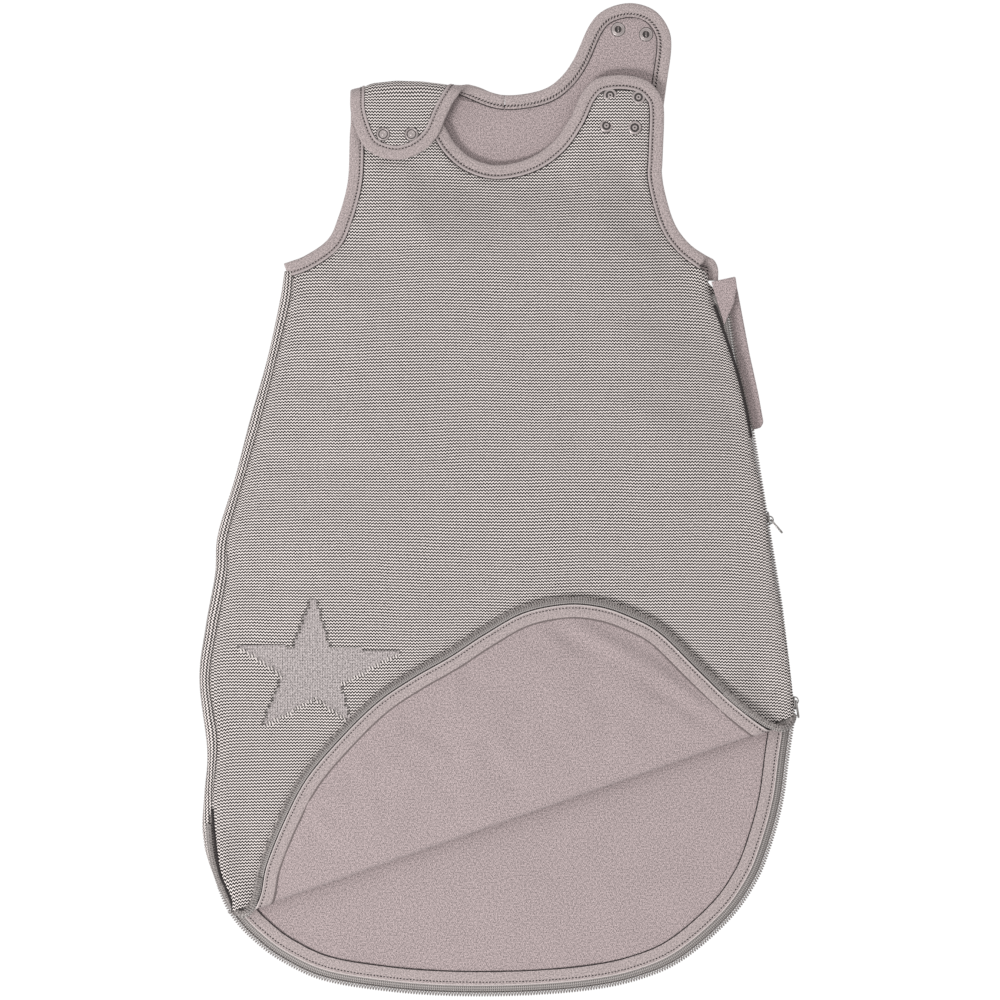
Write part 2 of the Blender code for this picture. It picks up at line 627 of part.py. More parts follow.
def main():
    clear_scene()
    looks = make_looks()
    zip_path = smooth(ZIP_UPPER) + [ZIP_CORNER] + smooth(ZIP_BOTTOM)
    left_hinge = joint_empty("left_strap_fold", (*LEFT_FOLD.point, LEFT_FOLD.height), LEFT_FOLD.angle)
    right_hinge = joint_empty("right_strap_fold", (*RIGHT_FOLD.point, RIGHT_FOLD.height), RIGHT_FOLD.angle)
    crease_hinge = joint_empty("flap_fold", (*CREASE.point, CREASE.height), CREASE.angle)
    make_back(looks, zip_path)
    straps = {
        "left": make_strap("left", looks, LEFT_FOLD, left_hinge),
        "right": make_strap("right", looks, RIGHT_FOLD, right_hinge),
    }
    make_front(looks)
    make_flap(looks, crease_hinge)
    make_zip(looks, zip_path)
    make_snaps(looks, straps, {"left": left_hinge, "right": right_hinge})
    make_slider("upper", looks, ZIP_UPPER[-1], ZIP_CORNER, *UPPER_SLIDER)
    make_slider("lower", looks, ZIP_CORNER, ZIP_SIDE_END, *LOWER_SLIDER)
    # The left strap was modelled laid out flat: it is folded over its front strap and snapped shut
    left_hinge.rotation_euler.x = math.pi


main()
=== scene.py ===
"""Looks of the baby sleeping bag: knit, jersey, bindings, zip and snaps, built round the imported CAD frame.

Metres, +Z up, +Y towards the shoulders. Outlines are in millimetres and run clockwise seen from above, so
the cloth is on their right-hand side. Cloth is first laid out flat, and a mould then rolls it over a fold.
"""

import json
import math

import bmesh
import bpy
import numpy as np
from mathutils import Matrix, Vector, geometry, noise


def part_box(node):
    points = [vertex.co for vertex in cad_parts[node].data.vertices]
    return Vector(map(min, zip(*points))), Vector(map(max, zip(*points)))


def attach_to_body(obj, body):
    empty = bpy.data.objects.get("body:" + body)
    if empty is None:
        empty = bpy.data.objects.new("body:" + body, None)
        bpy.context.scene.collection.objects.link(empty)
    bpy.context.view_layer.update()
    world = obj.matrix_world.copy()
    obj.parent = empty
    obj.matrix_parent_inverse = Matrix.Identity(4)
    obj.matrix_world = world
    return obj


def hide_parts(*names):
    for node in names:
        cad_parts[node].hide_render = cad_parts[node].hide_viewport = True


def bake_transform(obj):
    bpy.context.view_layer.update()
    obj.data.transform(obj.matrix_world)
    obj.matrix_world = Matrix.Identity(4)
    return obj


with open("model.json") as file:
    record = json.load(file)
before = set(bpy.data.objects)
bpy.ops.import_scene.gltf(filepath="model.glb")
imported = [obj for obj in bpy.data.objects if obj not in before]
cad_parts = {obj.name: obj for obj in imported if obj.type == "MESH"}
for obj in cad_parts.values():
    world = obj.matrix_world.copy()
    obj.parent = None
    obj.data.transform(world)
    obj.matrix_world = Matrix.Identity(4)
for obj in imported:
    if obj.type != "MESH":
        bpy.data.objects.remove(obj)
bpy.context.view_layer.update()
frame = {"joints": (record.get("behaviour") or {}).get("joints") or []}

MM = 0.001


def low(node):
    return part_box(node)[0].z


def high(node):
    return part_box(node)[1].z


def middle(node):
    return (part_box(node)[0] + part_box(node)[1]) / 2


# Cloth
KNIT = 2.0 * MM
JERSEY = 1.2 * MM
BACK_KNIT = 1.4 * MM
BACK_JERSEY = 1.0 * MM
FRONT_LEVEL = low("front_binding")
FRONT_TOP = high("front_binding")
BACK_LINING_TOP = high("back_lining")
FLAP_TOP = high("flap_lining")
CROWN = 11.0 * MM
BINDING_WIDTH = 11.0 * MM
BINDING_HEIGHT = 3.8 * MM
TUCK = 2.0 * MM
STITCH_LINE = 8.2 * MM
STITCH_PITCH = 2.55 * MM
SLANTED_LINE = 8.4 * MM
SLANT = math.radians(50)
ROW = 2.34 * MM
STITCH = 2.35 * MM
ZIGZAG = 1.15
WALE = 1.92 * MM
PANEL_STEP = 4.0 * MM
PATH_STEP = 3.0 * MM

# Cloth solver
SETTLE_STEP = 9.0 * MM
SETTLE_FRAMES = 20
CLOTH_MASS = 0.12
CLOTH_STIFFNESS = 12
CLOTH_BENDING = 0.3
CLOTH_EASE = 0.006
CLOTH_PRESSURE = 0.6

# Zip
TAPE_SHOWN = 7.0 * MM
TAPE_WIDTH = 12.0 * MM
COIL_PITCH = 2.1 * MM
COIL_RADIUS = 1.05 * MM
COIL_WIRE = 0.42 * MM
BACK_COIL_LEVEL = middle("back_zip_coil").z
FRONT_COIL_LEVEL = middle("front_zip_coil").z

NECK_MIDDLE = 8 * MM
NECK_CORNER = (-27, 312)

BACK_BOUND = [
    (-163, 182), (-150, 187), (-133, 199), (-125, 215), (-117, 245), (-115, 290), (-115, 320),
    (-114, 340), (-105, 363), (-92, 372), (-76, 374), (-60, 368), (-48, 356), (-40, 338), (-30, 321),
    (-15, 314), (8, 311), (32, 315), (46, 324), (57, 339), (69, 365), (81, 377), (100, 382),
    (118, 377), (129, 364), (132, 348), (128, 317), (125, 290), (125, 248), (133, 215), (144, 198),
    (158, 188), (165, 184), (168, 177), (168, 168),
]
FRONT_BOUND = [
    (-163, 182), (-150, 187), (-133, 199), (-125, 215), (-117, 245), (-115, 286), (-110, 304),
    (-98, 313), (-79, 315), (-62, 313), (-51, 303), (-43, 288), (-35, 274), (-21, 262), (-2, 257),
    (22, 262), (41, 275), (54, 293), (63, 312), (74, 323), (92, 326), (110, 323), (121, 314),
    (126, 300), (125, 261), (125, 245), (133, 215), (144, 198), (159, 186),
]
FRONT_RIGHT = [
    (160, 172), (161, 160), (171, 132), (181, 102), (189, 70), (196, 31), (203, -1), (209, -47),
    (215, -78), (220, -108), (225, -150), (226, -172), (226, -184),
]
FRONT_LEFT = [
    (-206, -335), (-206, -312), (-216, -285), (-221, -241), (-221, -220), (-218, -185), (-224, -139),
    (-218, -97), (-211, -58), (-210, -28), (-198, 15), (-185, 61), (-173, 107), (-162, 153), (-160, 171),
]
BACK_LEFT = [
    (-226, -270), (-228, -251), (-226, -224), (-224, -193), (-230, -139), (-225, -97), (-218, -58),
    (-216, -28), (-203, 15), (-191, 61), (-178, 107), (-168, 153), (-165, 172),
]
ZIP_UPPER = [(168, 160), (175, 147), (181, 110), (188, 79), (194, 53)]
ZIP_CORNER = (216, -82)
ZIP_BOTTOM = [
    (226, -168), (223, -187), (221, -201), (217, -231), (209, -262), (197, -293), (176, -323),
    (140, -354), (106, -369), (67, -377), (14, -381), (-43, -381), (-92, -377), (-137, -369),
    (-169, -354), (-190, -338), (-204, -323), (-213, -307), (-220, -284), (-222, -262), (-221, -243),
]
FLAP_FREE = [
    (-200, -321), (-190, -304), (-185, -280), (-171, -245), (-153, -211), (-125, -178), (-97, -151),
    (-69, -132), (-41, -116), (-15, -99), (16, -82), (50, -75), (78, -77), (102, -85), (126, -98),
    (157, -128), (181, -151), (204, -169), (216, -174), (226, -172),
]
FRONT_ZIP_LEFT = [(-203, -316), (-208, -309), (-217, -286), (-221, -262), (-222, -243)]
GARAGE = [(162.5, 167), (181, 171), (182, 164), (180, 151), (172.5, 134)]
WIND_FLAP_EDGE = [(201, 55), (203, 59), (199, 81), (192, 113), (183, 161), (181, 171), (172, 168)]
STAR = [(-143, -74), (-201, -112), (-182, -174), (-115, -171), (-76, -117)]


# Paths and outlines, as arrays of points in metres

def lengths_along(path):
    """Length of a path up to each of its points."""
    return np.concatenate([[0], np.cumsum(np.linalg.norm(np.diff(path, axis=0), axis=1))])


def resample(path, step):
    """The same path with evenly spaced points."""
    lengths = lengths_along(path)
    places = np.linspace(0, lengths[-1], max(3, round(lengths[-1] / step) + 1))
    return np.column_stack([np.interp(places, lengths, column) for column in path.T])


def smooth(points, step=PATH_STEP):
    """An even path along a Catmull-Rom curve through points in millimetres."""
    path = np.array(points, float) * MM
    ends = np.vstack([2 * path[0] - path[1], path, 2 * path[-1] - path[-2]])
    t = np.linspace(0, 1, 16, endpoint=False)[:, None]
    runs = [
        0.5 * (2 * b + (c - a) * t + (2 * a - 5 * b + 4 * c - d) * t ** 2 + (3 * b - a - 3 * c + d) * t ** 3)
        for a, b, c, d in zip(ends, ends[1:], ends[2:], ends[3:])
    ]
    return resample(np.vstack([*runs, path[-1:]]), step)


def normals(path):
    """Unit vectors to the right-hand side of the path."""
    heading = np.gradient(path, axis=0)
    heading /= np.linalg.norm(heading, axis=1)[:, None]
    return np.column_stack([heading[:, 1], -heading[:, 0]])


def inset(path, distance):
    return path + distance * normals(path)


def eased(value, start, end):
    t = np.clip((value - start) / (end - start), 0, 1)
    return t * t * (3 - 2 * t)


def inside(points, outline):
    """Which of the points lie inside a closed outline."""
    found = np.zeros(len(points), bool)
    x, y = points.T
    for (ax, ay), (bx, by) in zip(outline, np.roll(outline, -1, axis=0)):
        if ay != by:
            crossing = (ay > y) != (by > y)
            found ^= crossing & (x < (bx - ax) * (y - ay) / (by - ay) + ax)
    return found


def distance(points, path):
    """Distance of each point from an open path."""
    best = np.full(len(points), np.inf)
    for a, b in zip(path[:-1], path[1:]):
        edge = b - a
        t = np.clip(((points - a) @ edge) / max(edge @ edge, 1e-12), 0, 1)
        best = np.minimum(best, np.linalg.norm(points - a - t[:, None] * edge, axis=1))
    return best


def ripple(points, size, seed):
    """Soft random height from -1 to 1, with hills about this far apart."""
    return np.array([noise.noise((x / size, y / size, seed)) for x, y in points[:, :2]]) * 1.6


def closed(path):
    return np.vstack([path, path[:1]])


# Fold lines, from the frame's joints

class Fold:
    def __init__(self, name):
        joint = next(j for j in frame["joints"] if j["name"] == name)
        self.point = np.array(joint["pos_m"][:2])
        self.height = joint["pos_m"][2]
        along = np.array(joint["axis"][:2])
        self.along = along * np.sign(along[0])
        self.across = np.array([-self.along[1], self.along[0]])

    def past(self, points):
        return (points[:, :2] - self.point) @ self.across

    def at(self, past, height):
        return (*(self.point + past * self.across), height)


LEFT = Fold("left_strap_fold")
CREASE = Fold("lower_front_fold")
ROLL_START = 6 * MM
CREST_PLACES = (-116, -108, -98, -80, -60, -42, -30, -22, -14)
CREST_RISE = (-6.0, -4.2, -0.8, 1.2, 0.6, -1.6, -2.4, -1.0, 0.0)
ROLL_LENGTH = math.pi * (LEFT.height - BINDING_HEIGHT / 2)
CREASE_RADIUS = FLAP_TOP - CREASE.height
# How far the two knits stop short of the crease
CREASE_GAP = 0.15 * MM
# Distances from each fold that attach_turned takes and does not use
CREASE_TURN = 2.4 * MM
LEFT_TURN = 4.8 * MM


def laid_out(points):
    """Left shoulder cloth of the CAD's flat pattern, with the true length of its roll let in."""
    past = LEFT.past(points)
    within = (past + ROLL_START) * ROLL_LENGTH / (2 * ROLL_START) - ROLL_START
    moved = np.where(past > ROLL_START, past + ROLL_LENGTH - 2 * ROLL_START, within)
    moved = np.where(past < -ROLL_START, past, moved)
    result = points.copy()
    result[:, :2] += (moved - past)[:, None] * LEFT.across
    return result


def over_shoulder(points):
    """Rolls cloth that is laid out flat back over the left shoulder, with a crest that is highest in the middle."""
    past = LEFT.past(points) + ROLL_START
    turn = np.clip(past / ROLL_LENGTH, 0, 1) * math.pi
    radius = LEFT.height - points[:, 2]
    place = np.minimum(past, 0) + radius * np.sin(turn) - np.maximum(past - ROLL_LENGTH, 0) - ROLL_START
    crest = np.interp(points[:, 0] / MM, CREST_PLACES, CREST_RISE) * MM
    near = np.exp(-np.where(place > 0, 0, place / (9 * MM)) ** 2)
    result = points.copy()
    result[:, :2] += (place + crest * near - LEFT.past(points))[:, None] * LEFT.across
    result[:, 2] = LEFT.height - radius * np.cos(turn)
    return result


def under_crease(points):
    """Rolls the cloth that runs past the crease down round it, to the level of the upper front."""
    past = CREASE.past(points)
    turn = np.clip(-past / (math.pi * CREASE_RADIUS), 0, 1) * math.pi
    radius = points[:, 2] - CREASE.height
    place = np.maximum(past, 0) - radius * np.sin(turn)
    result = points.copy()
    result[:, :2] += (place - past)[:, None] * CREASE.across
    result[:, 2] = CREASE.height + radius * np.cos(turn)
    return result


# Meshes

def build(name, points, faces, uv, look, is_solid=True):
    data = bpy.data.meshes.new(name)
    data.from_pydata([tuple(point) for point in points], [], [tuple(face) for face in faces])
    if is_solid:
        mesh = bmesh.new()
        mesh.from_mesh(data)
        bmesh.ops.recalc_face_normals(mesh, faces=mesh.faces[:])
        mesh.to_mesh(data)
        mesh.free()
    layer = data.uv_layers.new(name="cloth")
    corners = np.empty(len(data.loops), np.int32)
    data.loops.foreach_get("vertex_index", corners)
    layer.data.foreach_set("uv", np.asarray(uv, np.float32)[corners].ravel())
    data.shade_smooth()
    data.materials.append(look)
    obj = bpy.data.objects.new(name, data)
    bpy.context.scene.collection.objects.link(obj)
    return obj


def band_faces(count, size):
    """Faces of a closed band of rings with the same number of points, and a cap at each end."""
    faces = [
        (i * size + j, i * size + (j + 1) % size, (i + 1) * size + (j + 1) % size, (i + 1) * size + j)
        for i in range(count - 1) for j in range(size)
    ]
    return faces + [tuple(range(size))[::-1], tuple(range((count - 1) * size, count * size))]


def thicken(obj, thickness):
    """Gives a cloth its thickness, away from the side that its faces point to."""
    modifier = obj.modifiers.new("thickness", "SOLIDIFY")
    modifier.thickness = thickness
    modifier.offset = -1
    modifier.use_rim = True
    return obj


def grid_in(outline, step):
    """Points of a triangular grid inside the outline, clear of its edge."""
    lowest, highest = outline.min(axis=0), outline.max(axis=0)
    rise = step * math.sqrt(3) / 2
    rows = np.arange(math.ceil((highest[1] - lowest[1]) / rise) + 1)
    columns = np.arange(math.ceil((highest[0] - lowest[0]) / step) + 1)
    x = lowest[0] + (columns[None, :] + 0.5 * (rows[:, None] % 2)) * step
    y = lowest[1] + rows[:, None] * rise + 0 * x
    points = np.column_stack([x.ravel(), y.ravel()])
    points = points[inside(points, outline)]
    return points[distance(points, closed(outline)) > 0.45 * step]


def panel(name, outline, height, look, thickness, step=PANEL_STEP, mould=None, loops=(), faces_down=False):
    """A cloth cut to an outline: its seen side at height(points), and its thickness behind that."""
    outline = resample(closed(outline), step)[:-1]
    grid = grid_in(outline, step)
    edges = [(i, (i + 1) % len(outline)) for i in range(len(outline))]
    corners = np.vstack([outline, grid])
    for loop in loops:
        ring = resample(closed(loop), step / 2)[:-1]
        first = len(corners)
        edges += [(first + i, first + (i + 1) % len(ring)) for i in range(len(ring))]
        corners = np.vstack([corners, ring])
    made = geometry.delaunay_2d_cdt([Vector(p) for p in corners], edges, [], 1, 1e-6)
    flat = np.array([tuple(p) for p in made[0]])
    faces = [face[::-1] for face in made[2]] if faces_down else made[2]
    points = np.column_stack([flat, height(flat)])
    if mould:
        points = mould(points)
    obj = thicken(build(name, points, faces, flat, look, is_solid=False), thickness)
    return obj


def sweep(name, path, section, height, look, mould=None, waver=0.0, seed=0.0):
    """A band along a path. The section is a closed loop of (distance into the cloth, height) pairs."""
    sides = normals(path)
    lengths = lengths_along(path)
    section = np.array(section, float)
    around = lengths_along(section)
    count, size = len(path), len(section)
    flat = path[:, None, :] + section[None, :, :1] * sides[:, None, :]
    flat = flat.reshape(-1, 2)
    lift = np.tile(section[:, 1], count)
    if waver:
        ends = eased(np.minimum(lengths, lengths[-1] - lengths), 2 * MM, 15 * MM)
        lift = lift * (1 + (waver * ends * ripple(np.column_stack([lengths, lengths]), 6 * MM, seed)).repeat(size))
    points = np.column_stack([flat, height(flat) + lift])
    if mould:
        points = mould(points)
    uv = np.column_stack([lengths.repeat(size), np.tile(around, count)])
    return build(name, points, band_faces(count, size), uv, look)


def repeated(name, path, distance_in, pitch, shape, height, look, mould=None, turn=0.0):
    """Copies of a small closed shape, (points, faces), along a line at a distance into the cloth."""
    line = resample(inset(path, distance_in), pitch)
    heading = np.gradient(line, axis=0)
    angles = np.arctan2(heading[:, 1], heading[:, 0]) + turn
    shape_points, shape_faces = shape
    cos, sin = np.cos(angles)[:, None], np.sin(angles)[:, None]
    x = line[:, :1] + cos * shape_points[:, 0] - sin * shape_points[:, 1]
    y = line[:, 1:] + sin * shape_points[:, 0] + cos * shape_points[:, 1]
    z = height(line)[:, None] + shape_points[:, 2][None, :] + 0 * x
    points = np.column_stack([x.ravel(), y.ravel(), z.ravel()])
    if mould:
        points = mould(points)
    size = len(shape_points)
    faces = [tuple(corner + size * copy for corner in face) for copy in range(len(line)) for face in shape_faces]
    return build(name, points, faces, points[:, :2], look)


def bead(length, width, height, sides=6):
    """A slim closed bead along X, as a stitch is."""
    rings = [(-0.5, 0.35), (-0.3, 0.9), (0.0, 1.0), (0.3, 0.9), (0.5, 0.35)]
    points = [
        (x * length, scale * width / 2 * math.cos(a), scale * height / 2 * math.sin(a))
        for x, scale in rings for a in np.arange(sides) * 2 * math.pi / sides
    ]
    return np.array(points), [face[::-1] for face in band_faces(len(rings), sides)]


def tube(name, line, radius, look, sides=5):
    """A closed round wire along a line of 3-D points."""
    heading = np.gradient(line, axis=0)
    heading /= np.linalg.norm(heading, axis=1)[:, None]
    side = np.cross(heading, (0.13, 0.21, 0.97))
    side /= np.linalg.norm(side, axis=1)[:, None]
    upper = np.cross(side, heading)
    angles = np.arange(sides) * 2 * math.pi / sides
    ring = np.cos(angles)[None, :, None] * side[:, None] + np.sin(angles)[None, :, None] * upper[:, None]
    points = (line[:, None] + radius * ring).reshape(-1, 3)
    return build(name, points, band_faces(len(line), sides), points[:, :2], look)


def coil(name, path, level, look, mould=None):
    """The turns of one half of a coil zip, bulging outwards at the tape's edge."""
    turns = 10
    line = resample(path, COIL_PITCH / turns)
    out = -normals(line)
    phase = np.arange(len(line)) * 2 * math.pi / turns
    bulge = 1.5 * COIL_RADIUS * np.cos(phase) - 0.2 * COIL_RADIUS
    flat = line + out * bulge[:, None]
    rise = 0.8 * COIL_RADIUS * np.sin(phase) * (1 - 0.25 * np.cos(phase))
    points = np.column_stack([flat, level(line) + rise])
    if mould:
        points = mould(points)
    return tube(name, points, COIL_WIRE, look)


def turned(name, profile, spot, look, flipped=False, steps=32):
    """A round piece from a closed profile of (radius, height) in millimetres, standing on a spot."""
    profile = np.array(profile, float) * MM
    size = len(profile)
    angles = np.arange(steps) * 2 * math.pi / steps
    x = np.outer(np.cos(angles), profile[:, 0])
    y = np.outer(np.sin(angles), profile[:, 0])
    z = np.tile(profile[:, 1], (steps, 1)) * (-1 if flipped else 1)
    points = np.column_stack([x.ravel(), y.ravel(), z.ravel()]) + np.array(spot)
    faces = [
        (
            i * size + j, ((i + 1) % steps) * size + j,
            ((i + 1) % steps) * size + (j + 1) % size, i * size + (j + 1) % size,
        )
        for i in range(steps) for j in range(size)
    ]
    if flipped:
        faces = [face[::-1] for face in faces]
    obj = build(name, points, faces, points[:, :2], look)
    obj.data.set_sharp_from_angle(angle=math.radians(40))
    return obj


# Which body each piece follows and which CAD solids it stands for

def stand_for(replaced):
    if replaced:
        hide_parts(*replaced)


def attach(obj, slot, body, *replaced):
    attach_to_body(obj, body)
    stand_for(replaced)


def attach_turned(obj, fold, turn, replaced):
    """Cloth that makes a half turn round a fold.

    It bakes the piece's place into its mesh and hides the CAD solids that it stands for.
    """
    fold.at(0, fold.height + turn)
    fold.at(0, fold.height - turn)
    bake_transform(obj)
    stand_for(replaced)


def attach_left(obj, slot, *replaced):
    """Cloth that runs from the back over the shoulder into the closed left strap."""
    attach_turned(obj, LEFT, LEFT_TURN, replaced)


def attach_crease(obj, slot, *replaced):
    """Cloth that runs from the upper front round the crease into the folded-up lower front."""
    attach_turned(obj, CREASE, CREASE_TURN, replaced)


def attach_right(obj, slot, *replaced):
    """Cloth that runs from the back into the right strap, which lies open."""
    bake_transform(obj)
    stand_for(replaced)


# Materials

# The knit's colour runs with the loops' height from near-black to near-white: painted shade in the deep gaps between
# the loops and painted light on their tops. The star's plain knit does the same between its wales.
KNIT_DARK = (9, 3, 2)
KNIT_LIGHT = (240, 230, 226)
STAR_DARK = (14, 10, 9)
STAR_LIGHT = (204, 194, 193)


def linear(red, green, blue):
    return (*(((c / 255 + 0.055) / 1.055) ** 2.4 for c in (red, green, blue)), 1.0)


class Look:
    """A Principled material, with short calls that add nodes to it."""

    def __init__(self, name, roughness, metallic=0.0, sheen=0.0):
        self.material = bpy.data.materials.new(name)
        self.material.use_nodes = True
        self.tree = self.material.node_tree
        self.shader = self.tree.nodes["Principled BSDF"]
        self.shader.inputs["Roughness"].default_value = roughness
        self.shader.inputs["Metallic"].default_value = metallic
        self.shader.inputs["Sheen Weight"].default_value = sheen
        self.shader.inputs["Sheen Roughness"].default_value = 0.6
        cloth = self.node("ShaderNodeUVMap")
        cloth.uv_map = "cloth"
        self.place = cloth.outputs["UV"]
        split = self.node("ShaderNodeSeparateXYZ", Vector=self.place)
        self.x, self.y = split.outputs["X"], split.outputs["Y"]

    def node(self, kind, **inputs):
        made = self.tree.nodes.new(kind)
        for name, value in inputs.items():
            self.feed(made.inputs[name], value)
        return made

    def feed(self, socket, value):
        if isinstance(value, bpy.types.NodeSocket):
            self.tree.links.new(value, socket)
        else:
            socket.default_value = value

    def math(self, operation, *values):
        made = self.tree.nodes.new("ShaderNodeMath")
        made.operation = operation
        for socket, value in zip(made.inputs, values):
            self.feed(socket, value)
        return made.outputs[0]

    def add(self, a, b):
        return self.math("ADD", a, b)

    def times(self, a, b):
        return self.math("MULTIPLY", a, b)

    def wave(self, phase):
        """From 0 to 1 and back once for each unit of phase."""
        return self.add(0.5, self.times(0.5, self.math("COSINE", self.times(phase, 2 * math.pi))))

    def noise(self, size, detail=2.0, place=None):
        """Noise from 0 to 1 with features of about this size in metres."""
        made = self.node("ShaderNodeTexNoise", Vector=place or self.place, Scale=1 / size, Detail=detail)
        return made.outputs["Fac"]

    def spread(self, value, gain):
        """More contrast about one half, kept from 0 to 1."""
        made = self.math("MULTIPLY_ADD", value, gain, 0.5 - 0.5 * gain)
        made.node.use_clamp = True
        return made

    def mix(self, factor, first, second):
        made = self.tree.nodes.new("ShaderNodeMix")
        made.data_type = "RGBA"
        self.feed(made.inputs[0], factor)
        self.feed(made.inputs[6], first)
        self.feed(made.inputs[7], second)
        return made.outputs[2]

    def finish(self, colour, height, depth, strength=1.0):
        self.feed(self.shader.inputs["Base Color"], colour)
        bump = self.node("ShaderNodeBump", Height=height, Distance=depth, Strength=strength)
        self.feed(self.shader.inputs["Normal"], bump.outputs["Normal"])
        return self.material


def purl(look, row=ROW, stitch=STITCH):
    """Height from 0 to 1 of purl knit: rows of loops that zigzag, with deep gaps between them."""
    across = look.add(look.times(look.x, 1 / stitch), look.times(look.noise(0.03), 0.5))
    drift = look.times(look.noise(0.16, 1.0), 4.5)
    along = look.add(look.add(look.times(look.y, 1 / row), drift), look.times(look.noise(0.02), 0.45))
    wavy = look.add(along, look.times(look.math("PINGPONG", across, 0.5), ZIGZAG))
    return look.spread(look.add(look.wave(wavy), -0.12), 2.3)


def star_mask(look, right=0.0, up=0.0):
    """1 inside the star, with an edge that steps from stitch to stitch. It may be moved a little."""
    x = look.times(look.add(look.math("FLOOR", look.times(look.add(look.x, -right), 1 / STITCH)), 0.5), STITCH)
    y = look.times(look.add(look.math("FLOOR", look.times(look.add(look.y, -up), 1 / ROW)), 0.5), ROW)
    tips = np.array(STAR, float) * MM
    centre = tips.mean(axis=0)
    sides = 0.0
    for index in range(len(tips)):
        a, b = tips[index], tips[(index + 2) % len(tips)]
        out = np.array([b[1] - a[1], a[0] - b[0]]) / np.linalg.norm(b - a)
        out *= np.sign((centre - a) @ out)
        place = look.add(look.add(look.times(x, out[0]), look.times(y, out[1])), float(-(a @ out)))
        sides = look.add(sides, look.math("GREATER_THAN", place, 0.0))
    return look.math("GREATER_THAN", sides, 3.5)


def make_knit(name, with_star=False):
    look = Look(name, 0.95, sheen=0.03)
    height = purl(look)
    fibre = look.noise(0.9 * MM, 2.0)
    height = look.times(height, look.add(0.78, look.times(fibre, 0.44)))
    patch = look.noise(0.012, 3.0)
    # Near-black in the gaps and near-white on the loops' tops: painted shade and painted light.
    colour = look.mix(height, linear(*KNIT_DARK), linear(*KNIT_LIGHT))
    if with_star:
        inside_star = star_mask(look)
        leg = look.math("ABSOLUTE", look.add(look.math("FRACT", look.times(look.x, 1 / WALE)), -0.5))
        vees = look.wave(look.add(look.times(look.y, 1 / (0.9 * ROW)), look.times(leg, 1.5)))
        gap = look.math("MINIMUM", look.times(look.add(0.5, look.times(leg, -1)), 4), 1.0)
        fuzz = look.spread(look.noise(1.3 * MM, 1.0), 3.6)
        flat = look.add(look.times(vees, 0.28), look.add(look.times(gap, 0.24), look.times(fuzz, 0.42)))
        # The near-black gaps between the wales are painted shade.
        plain = look.mix(flat, linear(*STAR_DARK), linear(*STAR_LIGHT))
        outside = look.add(1.0, look.times(inside_star, -1))
        below = look.times(star_mask(look, up=-1.1 * ROW), outside)
        beside = look.math("MAXIMUM", star_mask(look, right=STITCH), star_mask(look, right=-STITCH))
        above = look.math("MAXIMUM", beside, star_mask(look, up=0.5 * ROW))
        dark_edge = look.times(look.times(above, outside), look.add(1.0, look.times(below, -1)))
        dashes = look.spread(look.wave(look.times(look.add(look.x, look.times(look.y, 0.35)), 1.0 / STITCH)), 1.6)
        fringe = look.mix(dashes, linear(*KNIT_DARK), linear(*KNIT_LIGHT))
        colour = look.mix(inside_star, colour, plain)
        colour = look.mix(look.times(below, 0.75), colour, fringe)
        dotted = look.times(dark_edge, look.add(0.3, look.times(look.wave(look.times(look.y, 0.5 / ROW)), 0.45)))
        colour = look.mix(dotted, colour, linear(40, 34, 33))
        height = look.add(look.times(height, outside), look.times(look.times(flat, 0.35), inside_star))
    tinted = look.mix(look.times(patch, 0.07), colour, linear(104, 99, 96))
    return look.finish(tinted, height, 0.5 * MM, 0.8)


def make_jersey(name, red, green, blue, wale=1.5 * MM, contrast=0.2, slant=0.6):
    look = Look(name, 0.92, sheen=0.15)
    wobble = look.times(look.noise(6 * MM), 1.6)
    ribs = look.wave(look.add(look.times(look.add(look.x, look.times(look.y, slant)), 1 / wale), wobble))
    speck = look.spread(look.noise(1.1 * MM, 1.0), 3.0)
    fine = look.spread(look.noise(0.5 * MM, 1.0), 2.5)
    cloudy = look.spread(look.noise(0.03, 3.0), 1.2)
    level = look.add(
        look.add(look.times(ribs, 0.18), look.times(speck, 0.44)),
        look.add(look.times(fine, 0.32), look.times(cloudy, 0.06)),
    )
    dark = linear(*(c * (1 - contrast) for c in (red, green, blue)))
    light = linear(*(min(255, c * (1 + contrast)) for c in (red, green, blue)))
    return look.finish(look.mix(level, dark, light), level, 0.22 * MM, 0.6)


def make_woven(name):
    look = Look(name, 0.8, sheen=0.15)
    ribs = look.wave(look.times(look.x, 1 / (1.5 * MM)))
    lines = look.wave(look.add(look.times(look.y, 1 / (1.9 * MM)), look.times(ribs, 0.35)))
    level = look.add(look.times(ribs, 0.5), look.times(lines, 0.5))
    fibre = look.noise(0.3 * MM)
    colour = look.mix(look.times(level, look.add(0.5, fibre)), linear(48, 44, 43), linear(176, 169, 166))
    return look.finish(colour, level, 0.15 * MM, 0.7)


def make_plain(name, dark, light, roughness, metallic=0.0, grain=0.6 * MM, depth=0.03 * MM):
    look = Look(name, roughness, metallic)
    coordinates = look.node("ShaderNodeTexCoord").outputs["Object"]
    speck = look.noise(grain, 3.0, coordinates)
    cloudy = look.noise(8 * MM, 2.0, coordinates)
    colour = look.mix(look.add(look.times(speck, 0.5), look.times(cloudy, 0.5)), linear(*dark), linear(*light))
    return look.finish(colour, speck, depth, 0.5)


def make_backdrop():
    """A white ground that keeps no shadow, as in the photo."""
    look = Look("backdrop", 1.0)
    look.shader.inputs["Base Color"].default_value = (0, 0, 0, 1)
    look.shader.inputs["Emission Color"].default_value = (1, 1, 1, 1)
    look.shader.inputs["Emission Strength"].default_value = 1.0
    return look.material


